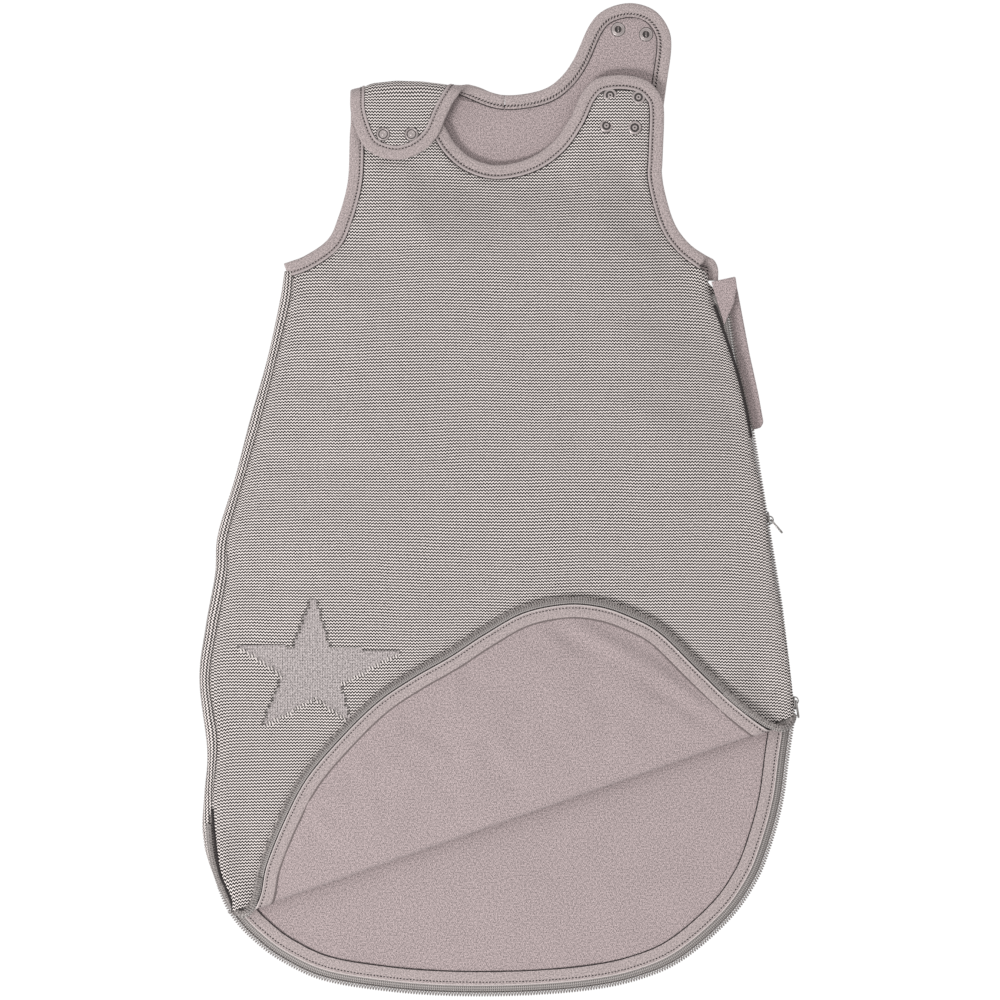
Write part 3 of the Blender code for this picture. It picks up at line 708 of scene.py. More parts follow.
KNIT_LOOK = make_knit("knit")
STAR_LOOK = make_knit("knit_with_star", with_star=True)
JERSEY_LOOK = make_jersey("jersey", 130, 118, 118, contrast=0.55)
BINDING_LOOK = make_jersey("binding", 141, 130, 129, wale=0.9 * MM, contrast=0.42, slant=0.0)
FACING_LOOK = make_jersey("facing", 141, 130, 129, wale=0.9 * MM, contrast=0.42, slant=0.0)
TAPE_LOOK = make_woven("tape")
COIL_LOOK = make_plain("coil", (104, 96, 94), (168, 160, 157), 0.42)
# Dark thread for the stitches, and also for thin dark lines that are painted shade in the creases beside bindings,
# facings and seams.
THREAD_AND_SHADOW_LOOK = make_plain("thread", (24, 19, 19), (44, 37, 37), 0.85)
# The binding's fabric a little lighter: painted highlight on the folded inner edge of a binding.
RIDGE_HIGHLIGHT_LOOK = make_plain("folded_edge", (150, 139, 138), (176, 165, 164), 0.85)
SNAP_LOOK = make_plain("snap", (134, 125, 124), (176, 166, 164), 0.34, 0.3)
# Painted shadow for the snaps: dark discs under their rings, in their hollows and grooves, and round their edges.
SNAP_SHADOW_LOOK = make_plain("dark_metal", (38, 34, 33), (62, 56, 55), 0.5, 0.3)
METAL_LOOK = make_plain("slider_metal", (84, 80, 78), (170, 166, 164), 0.32, 0.7, depth=0.02 * MM)
# Painted shadow: a dark strip at the inner edge of the flap's facing.
FACING_SHADOW_LOOK = make_plain("folded_shade", (92, 82, 81), (118, 107, 106), 0.9)
# A lighter copy of the facing's fabric: painted highlight on the folded edge of a facing.
HIGHLIGHT_EDGE_LOOK = make_plain("bright_edge", (172, 162, 160), (202, 192, 190), 0.85)
FLOOR_LOOK = make_backdrop()


# Shapes shared by several pieces

FRONT_EDGE = smooth(FRONT_BOUND)
BACK_EDGE = smooth(BACK_BOUND)
LEFT_SEAM = smooth(FRONT_LEFT)
RIGHT_SEAM = smooth(FRONT_RIGHT)
FLAP_EDGE = smooth(FLAP_FREE)
ZIP_STRAIGHT = np.array([ZIP_CORNER, ZIP_BOTTOM[0]], float) * MM
ZIP_SIDE = resample(np.vstack([smooth(ZIP_UPPER), ZIP_STRAIGHT]), PATH_STEP)
ZIP_LINE = resample(np.vstack([smooth(ZIP_UPPER), ZIP_STRAIGHT[:1], smooth(ZIP_BOTTOM)]), PATH_STEP)
DIPS = ((208, -152), (198, -136), (-197, -285), (-193, -262))
DIP = 3.6 * MM
DIP_SIZE = 15 * MM
LEFT_BULGE = [(-215, -302), (-219, -291), (-223, -280)]
LEFT_ROLL = (
    (-2.2, 0.4), (-0.9, 0.25), (-0.3, 0.9), (0.0, 3.0), (0.05, 5.5), (0.0, 8.0), (0.12, 10.6), (0.4, 12.1),
    (0.72, 12.3), (0.93, 11.4), (1.15, 9.8),
)
CORNER_LEFT = [
    (-222, -250), (-220.5, -268), (-216.5, -286), (-209, -304), (-203, -313.5), (-197.5, -317), (-192.5, -313),
    (-189.5, -303), (-187, -290),
]
CORNER_RIGHT = [
    (174, -146.5), (187, -157.5), (200, -167), (210, -172.5), (217.6, -174), (222.4, -170.5), (224.0, -165),
]
BINDING_SECTION = np.array([
    (0.0, 1.9), (0.25, 0.8), (1.0, 0.2), (3.0, 0.0), (6.8, 0.0), (7.6, 0.15), (8.2, 0.6), (9.3, 0.1),
    (10.2, 0.25), (10.9, 0.9), (11.0, 1.9), (10.9, 2.9), (10.3, 3.75), (9.3, 3.75), (8.2, 3.1),
    (7.3, 3.7), (7.0, 3.8), (3.0, 3.8), (1.0, 3.6), (0.25, 3.0),
]) * MM
FACING_SECTION = np.array([
    (0.0, 0.5), (0.2, 0.1), (1.0, 0.0), (9.8, 0.0), (10.6, 0.1), (10.8, 0.5), (10.6, 0.85), (9.8, 1.0),
    (6.0, 1.05), (3.2, 1.05), (2.3, 0.8), (1.5, 1.05), (0.6, 1.0),
]) * MM
RIM = np.array([(0, 0), (0.7, 0.5), (1.4, 0), (0.7, -0.4)]) * MM
BOUND_STITCH = bead(1.5 * MM, 0.95 * MM, 1.3 * MM)
SLANTED_STITCH = bead(2.5 * MM, 0.9 * MM, 1.3 * MM)
FACING_STITCH = bead(1.5 * MM, 0.95 * MM, 0.9 * MM)
SEAM_STITCH = bead(2.0 * MM, 0.8 * MM, 1.0 * MM)
RIDGE_SECTION = np.array([(9.1, 3.2), (10.7, 3.2), (10.95, 3.7), (10.6, 4.15), (9.5, 4.2), (9.05, 3.8)]) * MM
# A thin dark strip in the crease beside a binding's folded edge: painted shade.
RIDGE_SHADOW_LINE = np.array([(10.9, 2.3), (11.5, 2.3), (11.5, 3.1), (10.9, 3.1)]) * MM


def trim(name, path, height, attached, mould=None):
    """The folded inner edge of a binding on its knit side, a little lighter as a painted highlight, with a dark line
    beside it that is painted shade in the crease.
    """
    attached(sweep(f"{name}_ridge", path, RIDGE_SECTION, height, RIDGE_HIGHLIGHT_LOOK, mould=mould))
    attached(sweep(f"{name}_ridge_shadow_line", path, RIDGE_SHADOW_LINE, height, THREAD_AND_SHADOW_LOOK, mould=mould))


def flat(level):
    return lambda points: np.full(len(points), level)


def settled(outline, height, most):
    """How far cloth held at its edges swells and puckers, from the cloth solver, as a function of place."""
    corner = outline.min(axis=0) - SETTLE_STEP
    counts = np.ceil((outline.max(axis=0) - corner) / SETTLE_STEP).astype(int) + 2
    columns, rows = np.meshgrid(np.arange(counts[0]), np.arange(counts[1]))
    places = corner + SETTLE_STEP * np.column_stack([columns.ravel(), rows.ravel()])
    index = np.arange(len(places)).reshape(rows.shape)
    faces = np.stack([index[:-1, :-1], index[:-1, 1:], index[1:, 1:], index[1:, :-1]], axis=-1).reshape(-1, 4)
    points = np.column_stack([places, height(places)])
    obj = build("settling", points, faces.tolist(), places, JERSEY_LOOK, is_solid=False)
    is_free = inside(places, outline) & (distance(places, closed(outline)) > SETTLE_STEP)
    obj.vertex_groups.new(name="held").add(np.flatnonzero(~is_free).tolist(), 1.0, "REPLACE")
    cloth = obj.modifiers.new("cloth", "CLOTH")
    cloth.collision_settings.use_collision = False
    settings = cloth.settings
    settings.vertex_group_mass = "held"
    settings.quality = 5
    settings.mass = CLOTH_MASS
    settings.tension_stiffness = settings.compression_stiffness = CLOTH_STIFFNESS
    settings.bending_stiffness = CLOTH_BENDING
    settings.shrink_min = -CLOTH_EASE
    settings.use_pressure = True
    settings.uniform_pressure_force = CLOTH_PRESSURE
    settings.effector_weights.gravity = 0
    scene = bpy.context.scene
    for number in range(1, SETTLE_FRAMES + 1):
        scene.frame_set(number)
    shape = obj.evaluated_get(bpy.context.evaluated_depsgraph_get())
    moved = np.array([vertex.co.z for vertex in shape.to_mesh().vertices]) - points[:, 2]
    shape.to_mesh_clear()
    scene.frame_set(1)
    bpy.data.objects.remove(obj)
    moved = (most * np.tanh(moved / most)).reshape(rows.shape)

    def relief(points):
        spot = np.clip((points[:, :2] - corner) / SETTLE_STEP, 0, counts - 1.001)
        x, y = spot.astype(int).T
        right, up = (spot % 1).T
        lower = moved[y, x] * (1 - right) + moved[y, x + 1] * right
        upper = moved[y + 1, x] * (1 - right) + moved[y + 1, x + 1] * right
        return lower * (1 - up) + upper * up

    return relief


def zipped(points):
    """1 beside the closed stretch of the zip between its two sliders."""
    x, y = points[:, 0], points[:, 1]
    upper, lower = middle("upper_slider").y, middle("lower_slider").y
    above_lower = eased(y, lower - 8 * MM, lower + 10 * MM)
    return eased(x, 0.14, 0.16) * above_lower * (1 - eased(y, upper - 10 * MM, upper + 8 * MM))


def zip_lift(points, amount):
    """How far the cloth beside the closed zip moves to meet the other half."""
    return amount * zipped(points) * (1 - eased(distance(points, ZIP_LINE), 1 * MM, 7 * MM))


def droop(points):
    """How far the front's bound edges sink towards the back at the armholes and the neck."""
    y = points[:, 1]
    window = eased(y, 0.178, 0.205) * (1 - eased(y, 0.236, 0.272))
    neck = eased(np.abs(points[:, 0] - NECK_MIDDLE), 0.035, 0.055)
    window = np.maximum(window, (1 - neck) * eased(y, 0.2, 0.24))
    return 3.2 * MM * window * (1 - eased(distance(points, FRONT_EDGE), 6 * MM, 50 * MM))


def front_outline():
    bound = inset(FRONT_EDGE, BINDING_WIDTH - TUCK)
    return np.vstack([bound, RIGHT_SEAM, LEFT_SEAM])


def front_height(points):
    """Upper side of the front's knit."""
    sides = np.minimum(distance(points, LEFT_SEAM), distance(points, RIGHT_SEAM))
    edges = np.minimum(sides, distance(points, FRONT_EDGE))
    crown = CROWN * eased(edges, 0, 75 * MM) * eased(CREASE.past(points), 0.15, 0.25)
    crown *= 1 - eased(points[:, 1], 0.2, 0.262)
    waves = 0.7 * MM * ripple(points, 70 * MM, 3.0) + 0.35 * MM * ripple(points, 28 * MM, 7.0)
    waves *= eased(edges, 0, 25 * MM) * eased(CREASE.past(points), 0.1, 0.2)
    pucker = 0.35 * MM * ripple(points, 7 * MM, 11.0) * (1 - eased(edges, 2 * MM, 16 * MM))
    left_roll = 1.6 * MM * (1 - eased(distance(points, LEFT_SEAM), 0, 4 * MM))
    right = distance(points, RIGHT_SEAM)
    right_roll = 2.4 * MM * (1 - eased(right, 0, 7 * MM)) ** 1.3
    under_flap = 1 - eased(CREASE.past(points), 0, 3 * MM)
    tucked = 1.5 * MM * (1 - eased(distance(points, FRONT_EDGE), 11.2 * MM, 14.5 * MM))
    dips = sum(DIP * np.exp(-((points - np.array(place) * MM) ** 2).sum(axis=1) / (DIP_SIZE ** 2)) for place in DIPS)
    edge_rolls = left_roll + right_roll + droop(points) + tucked
    return FRONT_TOP + crown + waves + pucker * (1 - under_flap) - edge_rolls - dips * (1 - under_flap)


def meet_in_crease(points, height, overlap):
    """Brings a knit to the hinge at the crease, so that the two knits cover the lining when the flap opens."""
    near = 1 - eased(CREASE.past(points), 1.5 * MM, 6 * MM)
    return height + (CREASE.height + overlap - height) * near


def seen_front(relief):
    """The front's height with its settled folds, away from the crease."""
    settled_height = lambda p: front_height(p) + relief(p) * eased(CREASE.past(p), 150 * MM, 200 * MM)
    return lambda p: meet_in_crease(p, settled_height(p), -0.02 * MM)


# Upper front

def clip(outline, fold, past):
    """The part of a closed outline on the far side of a line along a fold."""
    kept = []
    for a, b in zip(outline, np.roll(outline, -1, axis=0)):
        at_a, at_b = fold.past(a[None])[0] - past, fold.past(b[None])[0] - past
        if at_a >= 0:
            kept.append(a)
        if at_a * at_b < 0:
            kept.append(a + (b - a) * at_a / (at_a - at_b))
    return np.array(kept)


def star_outline():
    """The ten corners of the star, from its five tips."""
    tips = np.array(STAR, float) * MM
    corners = []
    for index in range(5):
        a, b = tips[index], tips[(index + 2) % 5]
        c, d = tips[(index + 1) % 5], tips[(index - 1) % 5]
        share = np.linalg.solve(np.column_stack([b - a, c - d]), c - a)[0]
        corners += [a, a + share * (b - a)]
    return np.array(corners)


def star_depth(points, star):
    """The star's plain knit lies lower than the purl knit round it."""
    away = distance(points, closed(star)) * np.where(inside(points, star), -1, 1)
    lip = 0.35 * MM * np.exp(-((away - 1.2 * MM) / (1.5 * MM)) ** 2)
    return 0.9 * MM * (1 - eased(away, -0.7 * MM, 0.7 * MM)) - lip


def drop_rows(obj):
    """Bends the knit's rows down where they near the side seams."""
    layer = obj.data.uv_layers["cloth"].data
    uv = np.empty(len(layer) * 2, np.float32)
    layer.foreach_get("uv", uv)
    uv = uv.reshape(-1, 2).astype(float)
    away = np.minimum(distance(uv, LEFT_SEAM), distance(uv, RIGHT_SEAM))
    uv[:, 1] += 4.5 * MM * np.exp(-away / (7 * MM))
    layer.foreach_set("uv", uv.astype(np.float32).ravel())


def make_front():
    outline = clip(front_outline(), CREASE, CREASE_GAP)
    height = seen_front(settled(front_outline(), front_height, 3 * MM))
    star = star_outline()
    centre = star.mean(axis=0)
    loops = [centre + (star - centre) * scale for scale in (0.975, 1.025)]
    knit = panel(
        "front_knit", outline, lambda p: height(p) - star_depth(p, star), STAR_LOOK, KNIT,
        loops=loops,
    )
    drop_rows(knit)
    attach(knit, "knit", "bag", "front_outer")
    lining = panel(
        "front_jersey", outline, lambda p: height(p) - KNIT - 0.3 * MM, JERSEY_LOOK, JERSEY,
        step=7 * MM,
    )
    attach(lining, "jersey", "bag", "front_lining")
    base = lambda p: FRONT_LEVEL - droop(p)
    start = FRONT_EDGE[0] + (FRONT_EDGE[0] - FRONT_EDGE[1]) * 1.1
    bound_path = np.vstack([start, FRONT_EDGE])
    bound = sweep("front_bound", bound_path, BINDING_SECTION, base, BINDING_LOOK, waver=0.05, seed=1.0)
    attach(bound, "binding", "bag", "front_binding")
    trim("front_bound", FRONT_EDGE, base, lambda piece: attach(piece, "binding", "bag"))
    attach(repeated(
        "front_bound_stitches", FRONT_EDGE, STITCH_LINE, STITCH_PITCH, BOUND_STITCH, lambda p: base(p) + 3.4 * MM,
        THREAD_AND_SHADOW_LOOK,
    ), "binding", "bag")


# Back, with both back straps

def loft(name, rows, look, faces_down=False):
    """A surface through rows of 3-D points, each with the same number of points."""
    rows = np.array(rows)
    count, size = rows.shape[:2]
    across = lengths_along(rows[:, size // 2])
    points = rows.reshape(-1, 3)
    uv = np.column_stack([points[:, 1], across.repeat(size)])
    faces = [
        (i * size + j, i * size + j + 1, (i + 1) * size + j + 1, (i + 1) * size + j)
        for i in range(count - 1) for j in range(size - 1)
    ]
    if faces_down:
        faces = [face[::-1] for face in faces]
    return build(name, points, faces, uv, look, is_solid=False)


def make_left_side():
    """The back's knit rolled up over the left edge to the side seam."""
    count = 170
    outer = resample(np.vstack([np.array(LEFT_BULGE, float) * MM, smooth(BACK_LEFT)]), 1 * MM)
    outer = np.vstack([outer, outer[-1] + (0.5 * MM, 3 * MM)])
    seam = LEFT_SEAM[LEFT_SEAM[:, 1] > outer[0, 1]]
    y = np.linspace(outer[0, 1], outer[-1, 1], count)
    outer_x = np.interp(y, outer[:, 1], outer[:, 0])
    seam_x = np.interp(y, seam[:, 1], seam[:, 0])
    up = eased(y, -0.258, -0.222)
    whole = seam_x - outer_x
    reach = np.where(y > -0.222, whole, np.minimum(whole, 8 * MM * eased(y, outer[0, 1], -0.25) + 1 * MM))
    bumps = 0.2 * MM * np.sin(2 * math.pi * y / (8 * MM)) + 0.3 * MM * ripple(np.column_stack([y, y]), 11 * MM, 5.0)
    rows = []
    for share, height in LEFT_ROLL:
        x = outer_x + reach * abs(share)
        crest = math.exp(-((height - 11) / 4) ** 2) if share >= 0 else 0
        lift = np.where(height > 1, 0.35 + 0.65 * up, 1)
        rows.append(np.column_stack([x, y, height * MM * lift + crest * bumps * up]))
    roll = loft("left_side_roll", rows, KNIT_LOOK)
    attach(thicken(roll, 1.2 * MM), "knit", "bag")
    line = np.column_stack([seam_x, y])[::-1]
    attach(repeated(
        "left_seam_stitches", line[: count - 40], -0.4 * MM, 3.0 * MM, SEAM_STITCH, flat(11.6 * MM), THREAD_AND_SHADOW_LOOK,
    ), "knit", "bag")


def back_parts():
    """The index range of the back's bound edge that belongs to the left strap."""
    beyond = np.flatnonzero((BACK_FINE[:, 0] < NECK_MIDDLE) & (LEFT.past(BACK_FINE) > -ROLL_START))
    return beyond[0], beyond[-1]


BACK_FINE = smooth(BACK_BOUND, 1 * MM)


def beside_binding(points, edge):
    """1 under a binding of the back, and 0 a little way inside it."""
    return 1 - eased(distance(points, edge), 11.2 * MM, 14.5 * MM)


def jersey_waves(points):
    """Upper side of the back's lining."""
    lower = 1 - eased(points[:, 1], -0.2, -0.1)
    neck = eased(points[:, 1], 0.2, 0.24)
    amount = 0.5 * MM * np.maximum(lower, 0.5 * neck)
    tucked = 0.6 * MM * beside_binding(points, BACK_EDGE)
    waves = amount * ripple(points, 45 * MM, 21.0)
    return BACK_LINING_TOP - tucked + waves + 0.1 * MM * ripple(points, 12 * MM, 23.0)


def straight_stitches(name, path, mould=None):
    """The stitches of a back binding on its knit side."""
    return repeated(name, path, STITCH_LINE, STITCH_PITCH, BOUND_STITCH, flat(0.45 * MM), THREAD_AND_SHADOW_LOOK, mould=mould)


def slanted_stitches(name, path, mould=None):
    """The stitches of a back binding on its lining side."""
    return repeated(
        name, path, SLANTED_LINE, STITCH_PITCH, SLANTED_STITCH, flat(3.5 * MM), THREAD_AND_SHADOW_LOOK, mould=mould, turn=SLANT,
    )


def bound_shadow_line(name, path, mould=None):
    """A dark line beside a back binding on its lining side, painted shade in the crease."""
    return sweep(name, path, RIDGE_SHADOW_LINE + (0, 0.3 * MM), flat(0), THREAD_AND_SHADOW_LOOK, mould=mould)


def make_back():
    first, last = back_parts()
    inner = inset(BACK_FINE, BINDING_WIDTH - TUCK)
    on_fold = LEFT.at(-ROLL_START, 0)[:2] * np.array([0, 1]) + (inner[first, 0], 0)
    under_fold = (on_fold, np.array(NECK_CORNER) * MM)
    fixed = np.vstack([inner[:first], *under_fold, inner[last + 1:]])
    side = inset(ZIP_SIDE, 1 * MM)
    bottom = inset(smooth(ZIP_BOTTOM), TAPE_SHOWN)[3:-6]
    outline = np.vstack([fixed, side, bottom, smooth(BACK_LEFT)])
    under = lambda p: 0.2 * MM + 0.6 * MM * beside_binding(p, BACK_EDGE)
    knit = panel("back_knit", outline, under, KNIT_LOOK, BACK_KNIT, step=5 * MM, faces_down=True)
    attach_right(knit, "knit", "back_outer", "right_strap_outer")
    left = inset(LEFT_SEAM, 1 * MM)
    left = left[left[:, 1] > -0.2]
    lined = np.vstack([fixed, inset(ZIP_LINE, TAPE_WIDTH), left])
    lining = panel("back_jersey", lined, jersey_waves, JERSEY_LOOK, BACK_JERSEY, step=5 * MM)
    attach_right(lining, "jersey", "back_lining", "right_strap_lining")
    strap = laid_out(inner[first:last + 1])
    strap_edge = laid_out(BACK_FINE[:last + 4])
    tucked = lambda p: 0.5 * MM * beside_binding(p, strap_edge)
    knit = panel(
        "left_strap_knit", strap, lambda p: 0.25 * MM + tucked(p), KNIT_LOOK, BACK_KNIT,
        step=3 * MM, mould=over_shoulder, faces_down=True,
    )
    attach_left(knit, "knit", "left_strap_outer")
    lining = panel(
        "left_strap_jersey", strap, lambda p: BACK_LINING_TOP - tucked(p), JERSEY_LOOK, BACK_JERSEY,
        step=3 * MM, mould=over_shoulder,
    )
    attach_left(lining, "jersey", "left_strap_lining")
    left_path = resample(strap_edge, PATH_STEP)
    bound = sweep(
        "left_bound", left_path, BINDING_SECTION, flat(0), BINDING_LOOK, mould=over_shoulder, waver=0.05, seed=2.0,
    )
    attach_left(bound, "binding", "left_armhole_back_binding", "left_strap_binding")
    turned_up = lambda p: over_shoulder(p * (1, 1, -1) + (0, 0, BINDING_HEIGHT))
    trim("left_bound", left_path, flat(0), lambda piece: attach_left(piece, "binding"), turned_up)
    attach_left(straight_stitches("left_bound_stitches", left_path, over_shoulder), "binding")
    attach_left(slanted_stitches("left_bound_inner_stitches", left_path, over_shoulder), "binding")
    attach_left(bound_shadow_line("left_bound_line", left_path, over_shoulder), "binding")
    right_path = resample(BACK_FINE[last + 3:], PATH_STEP)
    bound = sweep("neck_and_right_bound", right_path, BINDING_SECTION, flat(0), BINDING_LOOK, waver=0.05, seed=3.0)
    attach_right(bound, "binding", "back_neck_binding", "right_strap_binding", "right_armhole_back_binding")
    attach_right(bound_shadow_line("right_bound_line", right_path), "binding")
    attach_right(slanted_stitches("right_bound_stitches", right_path), "binding")
    attach_right(straight_stitches("right_bound_outer_stitches", right_path), "binding")


# Lower front, folded up

def flap_path():
    """The flap's zip line, laid out flat past the crease at the left corner."""
    path = FLAP_EDGE
    heading = path[0] - path[2]
    heading /= np.linalg.norm(heading)
    arc = math.pi * CREASE_RADIUS
    reach = (CREASE.past(path[:1])[0] + arc) / -(heading @ CREASE.across)
    steps = np.arange(reach, 0, -1 * MM)[:, None]
    return resample(np.vstack([path[0] + steps * heading, path]), 2 * MM)


def flap_height(points):
    """Upper side of the flap's lining."""
    past = CREASE.past(points)
    edge = distance(points, FLAP_EDGE)
    lift = 2.6 * MM * eased(edge, 14 * MM, 60 * MM) * eased(past, 4 * MM, 50 * MM)
    folds = 1.1 * MM * ripple(points, 42 * MM, 31.0) + 0.4 * MM * ripple(points, 15 * MM, 37.0)
    along = (points - CREASE.point) @ CREASE.along
    ridge = np.sin((along * 1.5 + past * 1.25) / (7.5 * MM)) * eased(along, 0.05, 0.11)
    folds += 1.5 * MM * (ridge * (1 - eased(edge, 30 * MM, 55 * MM)))
    return FLAP_TOP + lift + (folds + 1.6 * MM) * eased(past, 2 * MM, 22 * MM) * eased(edge, 12 * MM, 26 * MM)


def make_flap():
    knit_outline = clip(inset(FLAP_EDGE, 6.5 * MM), CREASE, CREASE_GAP)
    knit_level = flat(low("flap_outer") + 0.1 * MM)
    knit = panel(
        "flap_knit", knit_outline, lambda p: meet_in_crease(p, knit_level(p), 0.02 * MM), KNIT_LOOK, KNIT,
        step=5 * MM, faces_down=True,
    )
    attach(knit, "knit", "lower_front", "flap_outer")
    outline = clip(inset(FLAP_EDGE, TAPE_WIDTH), CREASE, 0.0)
    on_crease = np.abs(CREASE.past(outline)) < 1e-6
    outline[on_crease] -= math.pi * CREASE_RADIUS * CREASE.across
    relief = settled(outline, flap_height, 2.5 * MM)
    clear = lambda p: eased(CREASE.past(p), 4 * MM, 30 * MM)
    lining = panel(
        "flap_jersey", outline, lambda p: flap_height(p) + np.abs(relief(p)) * clear(p), JERSEY_LOOK, JERSEY,
        mould=under_crease,
    )
    attach_crease(lining, "jersey", "flap_lining")
    path = flap_path()
    facing = sweep(
        "flap_facing_strip", inset(path, 6.5 * MM), FACING_SECTION * (0.89, 1), flat(FLAP_TOP - 0.1 * MM), FACING_LOOK,
        mould=under_crease, waver=0.06, seed=4.0,
    )
    attach_crease(facing, "facing", "flap_facing")
    # The facing's folded edge, coloured with a painted highlight.
    attach_crease(sweep(
        "flap_facing_edge", inset(path, 6.2 * MM), RIM, flat(FLAP_TOP + 0.9 * MM), HIGHLIGHT_EDGE_LOOK, mould=under_crease,
    ), "facing")
    # A dark strip at the facing's inner edge: painted shadow where the facing steps down to the lining.
    inner = np.array([(0, 0), (1.1, 0), (1.1, 0.35), (0.0, 0.35)]) * MM
    attach_crease(sweep(
        "flap_facing_shade", inset(path, 16.0 * MM), inner, flat(FLAP_TOP + 0.45 * MM), FACING_SHADOW_LOOK, mould=under_crease,
    ), "facing")
    # A dark line between the tape and the facing's edge: painted shade.
    attach_crease(sweep(
        "flap_tape_seam", inset(path, 5.4 * MM), RIM * (0.6, 0.6), flat(FLAP_TOP + 0.1 * MM), THREAD_AND_SHADOW_LOOK,
        mould=under_crease,
    ), "facing")
    attach_crease(repeated(
        "flap_facing_stitches", path, 8.9 * MM, STITCH_PITCH, FACING_STITCH, flat(FLAP_TOP + 0.75 * MM), THREAD_AND_SHADOW_LOOK,
        mould=under_crease,
    ), "facing")
    tape = [(1.0, -0.9), (6.0, -0.8), (TAPE_WIDTH / MM, -0.8), (TAPE_WIDTH / MM, -0.1), (6.0, -0.1), (1.0, -0.2)]
    attach_crease(sweep(
        "flap_tape", path, np.array(tape) * MM, flat(FLAP_TOP), TAPE_LOOK, mould=under_crease,
    ), "tape", "flap_zip_tape")
    attach_crease(coil(
        "flap_teeth", inset(path, 1.4 * MM), flat(FLAP_TOP - 0.3 * MM), COIL_LOOK, mould=under_crease,
    ), "coil", "flap_zip_coil")


def make_corners():
    """The front's zip tape where it turns round the two ends of the crease, up from the bag into the flap."""
    band = np.array([(0.0, 0.2), (0.4, 1.1), (5.6, 0.9), (6.2, 0.2), (5.6, -0.3), (0.4, -0.3)]) * MM
    for side, corner, start, end in (
        ("left", CORNER_LEFT, -0.207, -0.190), ("right", CORNER_RIGHT, 0.228, 0.213),
    ):
        path = smooth(corner, 1.5 * MM)
        level = lambda p: 9.0 * MM + 7.6 * MM * eased(p[:, 0], start, end)
        tape = sweep(f"{side}_corner_tape", path, band * (0.75, 1), level, TAPE_LOOK)
        attach_crease(tape, "tape")
        teeth = coil(f"{side}_corner_teeth", inset(path, 1.2 * MM), lambda p: 0.9 * MM + level(p), COIL_LOOK)
        attach_crease(teeth, "coil")


# Zip

def tape_section(level):
    """A woven tape that reaches from under the coil to under the facing."""
    return np.array([(1.3, 0.0), (TAPE_WIDTH / MM, 0.0), (TAPE_WIDTH / MM, 0.75), (1.3, 0.75)]) * MM + (0, level)


def make_zip():
    back_tape = sweep("back_tape", ZIP_LINE, tape_section(2.5 * MM), lambda p: zip_lift(p, 1.3 * MM), TAPE_LOOK)
    attach(back_tape, "tape", "bag", "back_zip_tape")
    back_level = BACK_COIL_LEVEL - 0.4 * MM
    teeth = coil("back_teeth", ZIP_LINE, lambda p: back_level + 1.4 * MM * zipped(p), COIL_LOOK)
    attach(teeth, "coil", "bag", "back_zip_coil")
    facing_path = inset(ZIP_LINE, TAPE_SHOWN)
    facing = sweep("back_facing_strip", facing_path, FACING_SECTION, flat(3.5 * MM), FACING_LOOK, waver=0.06, seed=6.0)
    attach(facing, "facing", "bag", "back_facing")
    # The facing's folded edge, coloured with a painted highlight.
    attach(sweep(
        "back_facing_edge", inset(ZIP_LINE, TAPE_SHOWN - 0.4 * MM), RIM, flat(4.3 * MM), HIGHLIGHT_EDGE_LOOK,
    ), "facing", "bag")
    # A dark line at the facing's inner edge: painted shadow where the facing steps down.
    attach(sweep(
        "back_facing_seam", inset(ZIP_LINE, TAPE_SHOWN + 9.9 * MM), RIM * (0.8, 0.6), flat(4.3 * MM), THREAD_AND_SHADOW_LOOK,
    ), "facing", "bag")
    attach(repeated(
        "back_facing_stitches", ZIP_LINE, TAPE_SHOWN + 2.5 * MM, STITCH_PITCH, FACING_STITCH, flat(4.4 * MM),
        THREAD_AND_SHADOW_LOOK,
    ), "facing", "bag")
    side = ZIP_SIDE[CREASE.past(ZIP_SIDE) > -2 * MM]
    tape = sweep("front_tape", side, tape_section(8.0 * MM), lambda p: zip_lift(p, -1.2 * MM), TAPE_LOOK)
    attach(tape, "tape", "bag", "front_zip_tape")
    level = lambda p: FRONT_COIL_LEVEL - 1.3 * MM * zipped(p)
    attach(coil("front_teeth", side, level, COIL_LOOK), "coil", "bag", "front_zip_coil")
    facing = sweep(
        "front_facing_strip", inset(side, TAPE_SHOWN), FACING_SECTION * (1, 0.6), flat(7.1 * MM), FACING_LOOK,
    )
    attach(facing, "facing", "bag", "front_facing")
    left = smooth(FRONT_ZIP_LEFT, 2 * MM)
    tape = sweep("front_tape_left", left, tape_section(8.1 * MM) * (0.6, 1), flat(0), TAPE_LOOK)
    attach(tape, "tape", "bag", "front_zip_tape_left")
    attach(coil("front_teeth_left", left, flat(8.9 * MM), COIL_LOOK), "coil", "bag", "front_zip_coil_left")
    # Dark lines along stretches of the side seams: painted shade in the seams' grooves.
    line = np.array([(-1.0, -1.5), (1.0, -1.5), (1.0, 0), (-1.0, 0)]) * MM
    for name, edge, ends in (
        ("right_seam_line", RIGHT_SEAM, (0.045, 0.150)), ("left_seam_line", LEFT_SEAM, (-0.320, -0.236)),
    ):
        stretch = edge[(edge[:, 1] > ends[0]) & (edge[:, 1] < ends[1])]
        attach(sweep(name, stretch, line, lambda p: front_height(p) + 0.4 * MM, THREAD_AND_SHADOW_LOOK), "coil", "bag")
    garage = panel(
        "garage", np.array(GARAGE) * MM, lambda p: 10.6 * MM + 0.5 * MM * ripple(p, 14 * MM, 41.0), JERSEY_LOOK, JERSEY,
        step=1.5 * MM,
    )
    attach(garage, "jersey", "bag", "zip_garage")
    outline = np.vstack([smooth(ZIP_UPPER)[2:], np.array(WIND_FLAP_EDGE) * MM])
    wind = panel(
        "wind_guard", outline, lambda p: 1.6 * MM + 0.3 * MM * ripple(p, 16 * MM, 43.0), JERSEY_LOOK, JERSEY,
        step=2 * MM,
    )
    attach(wind, "jersey", "bag", "wind_flap")


# Ring snaps

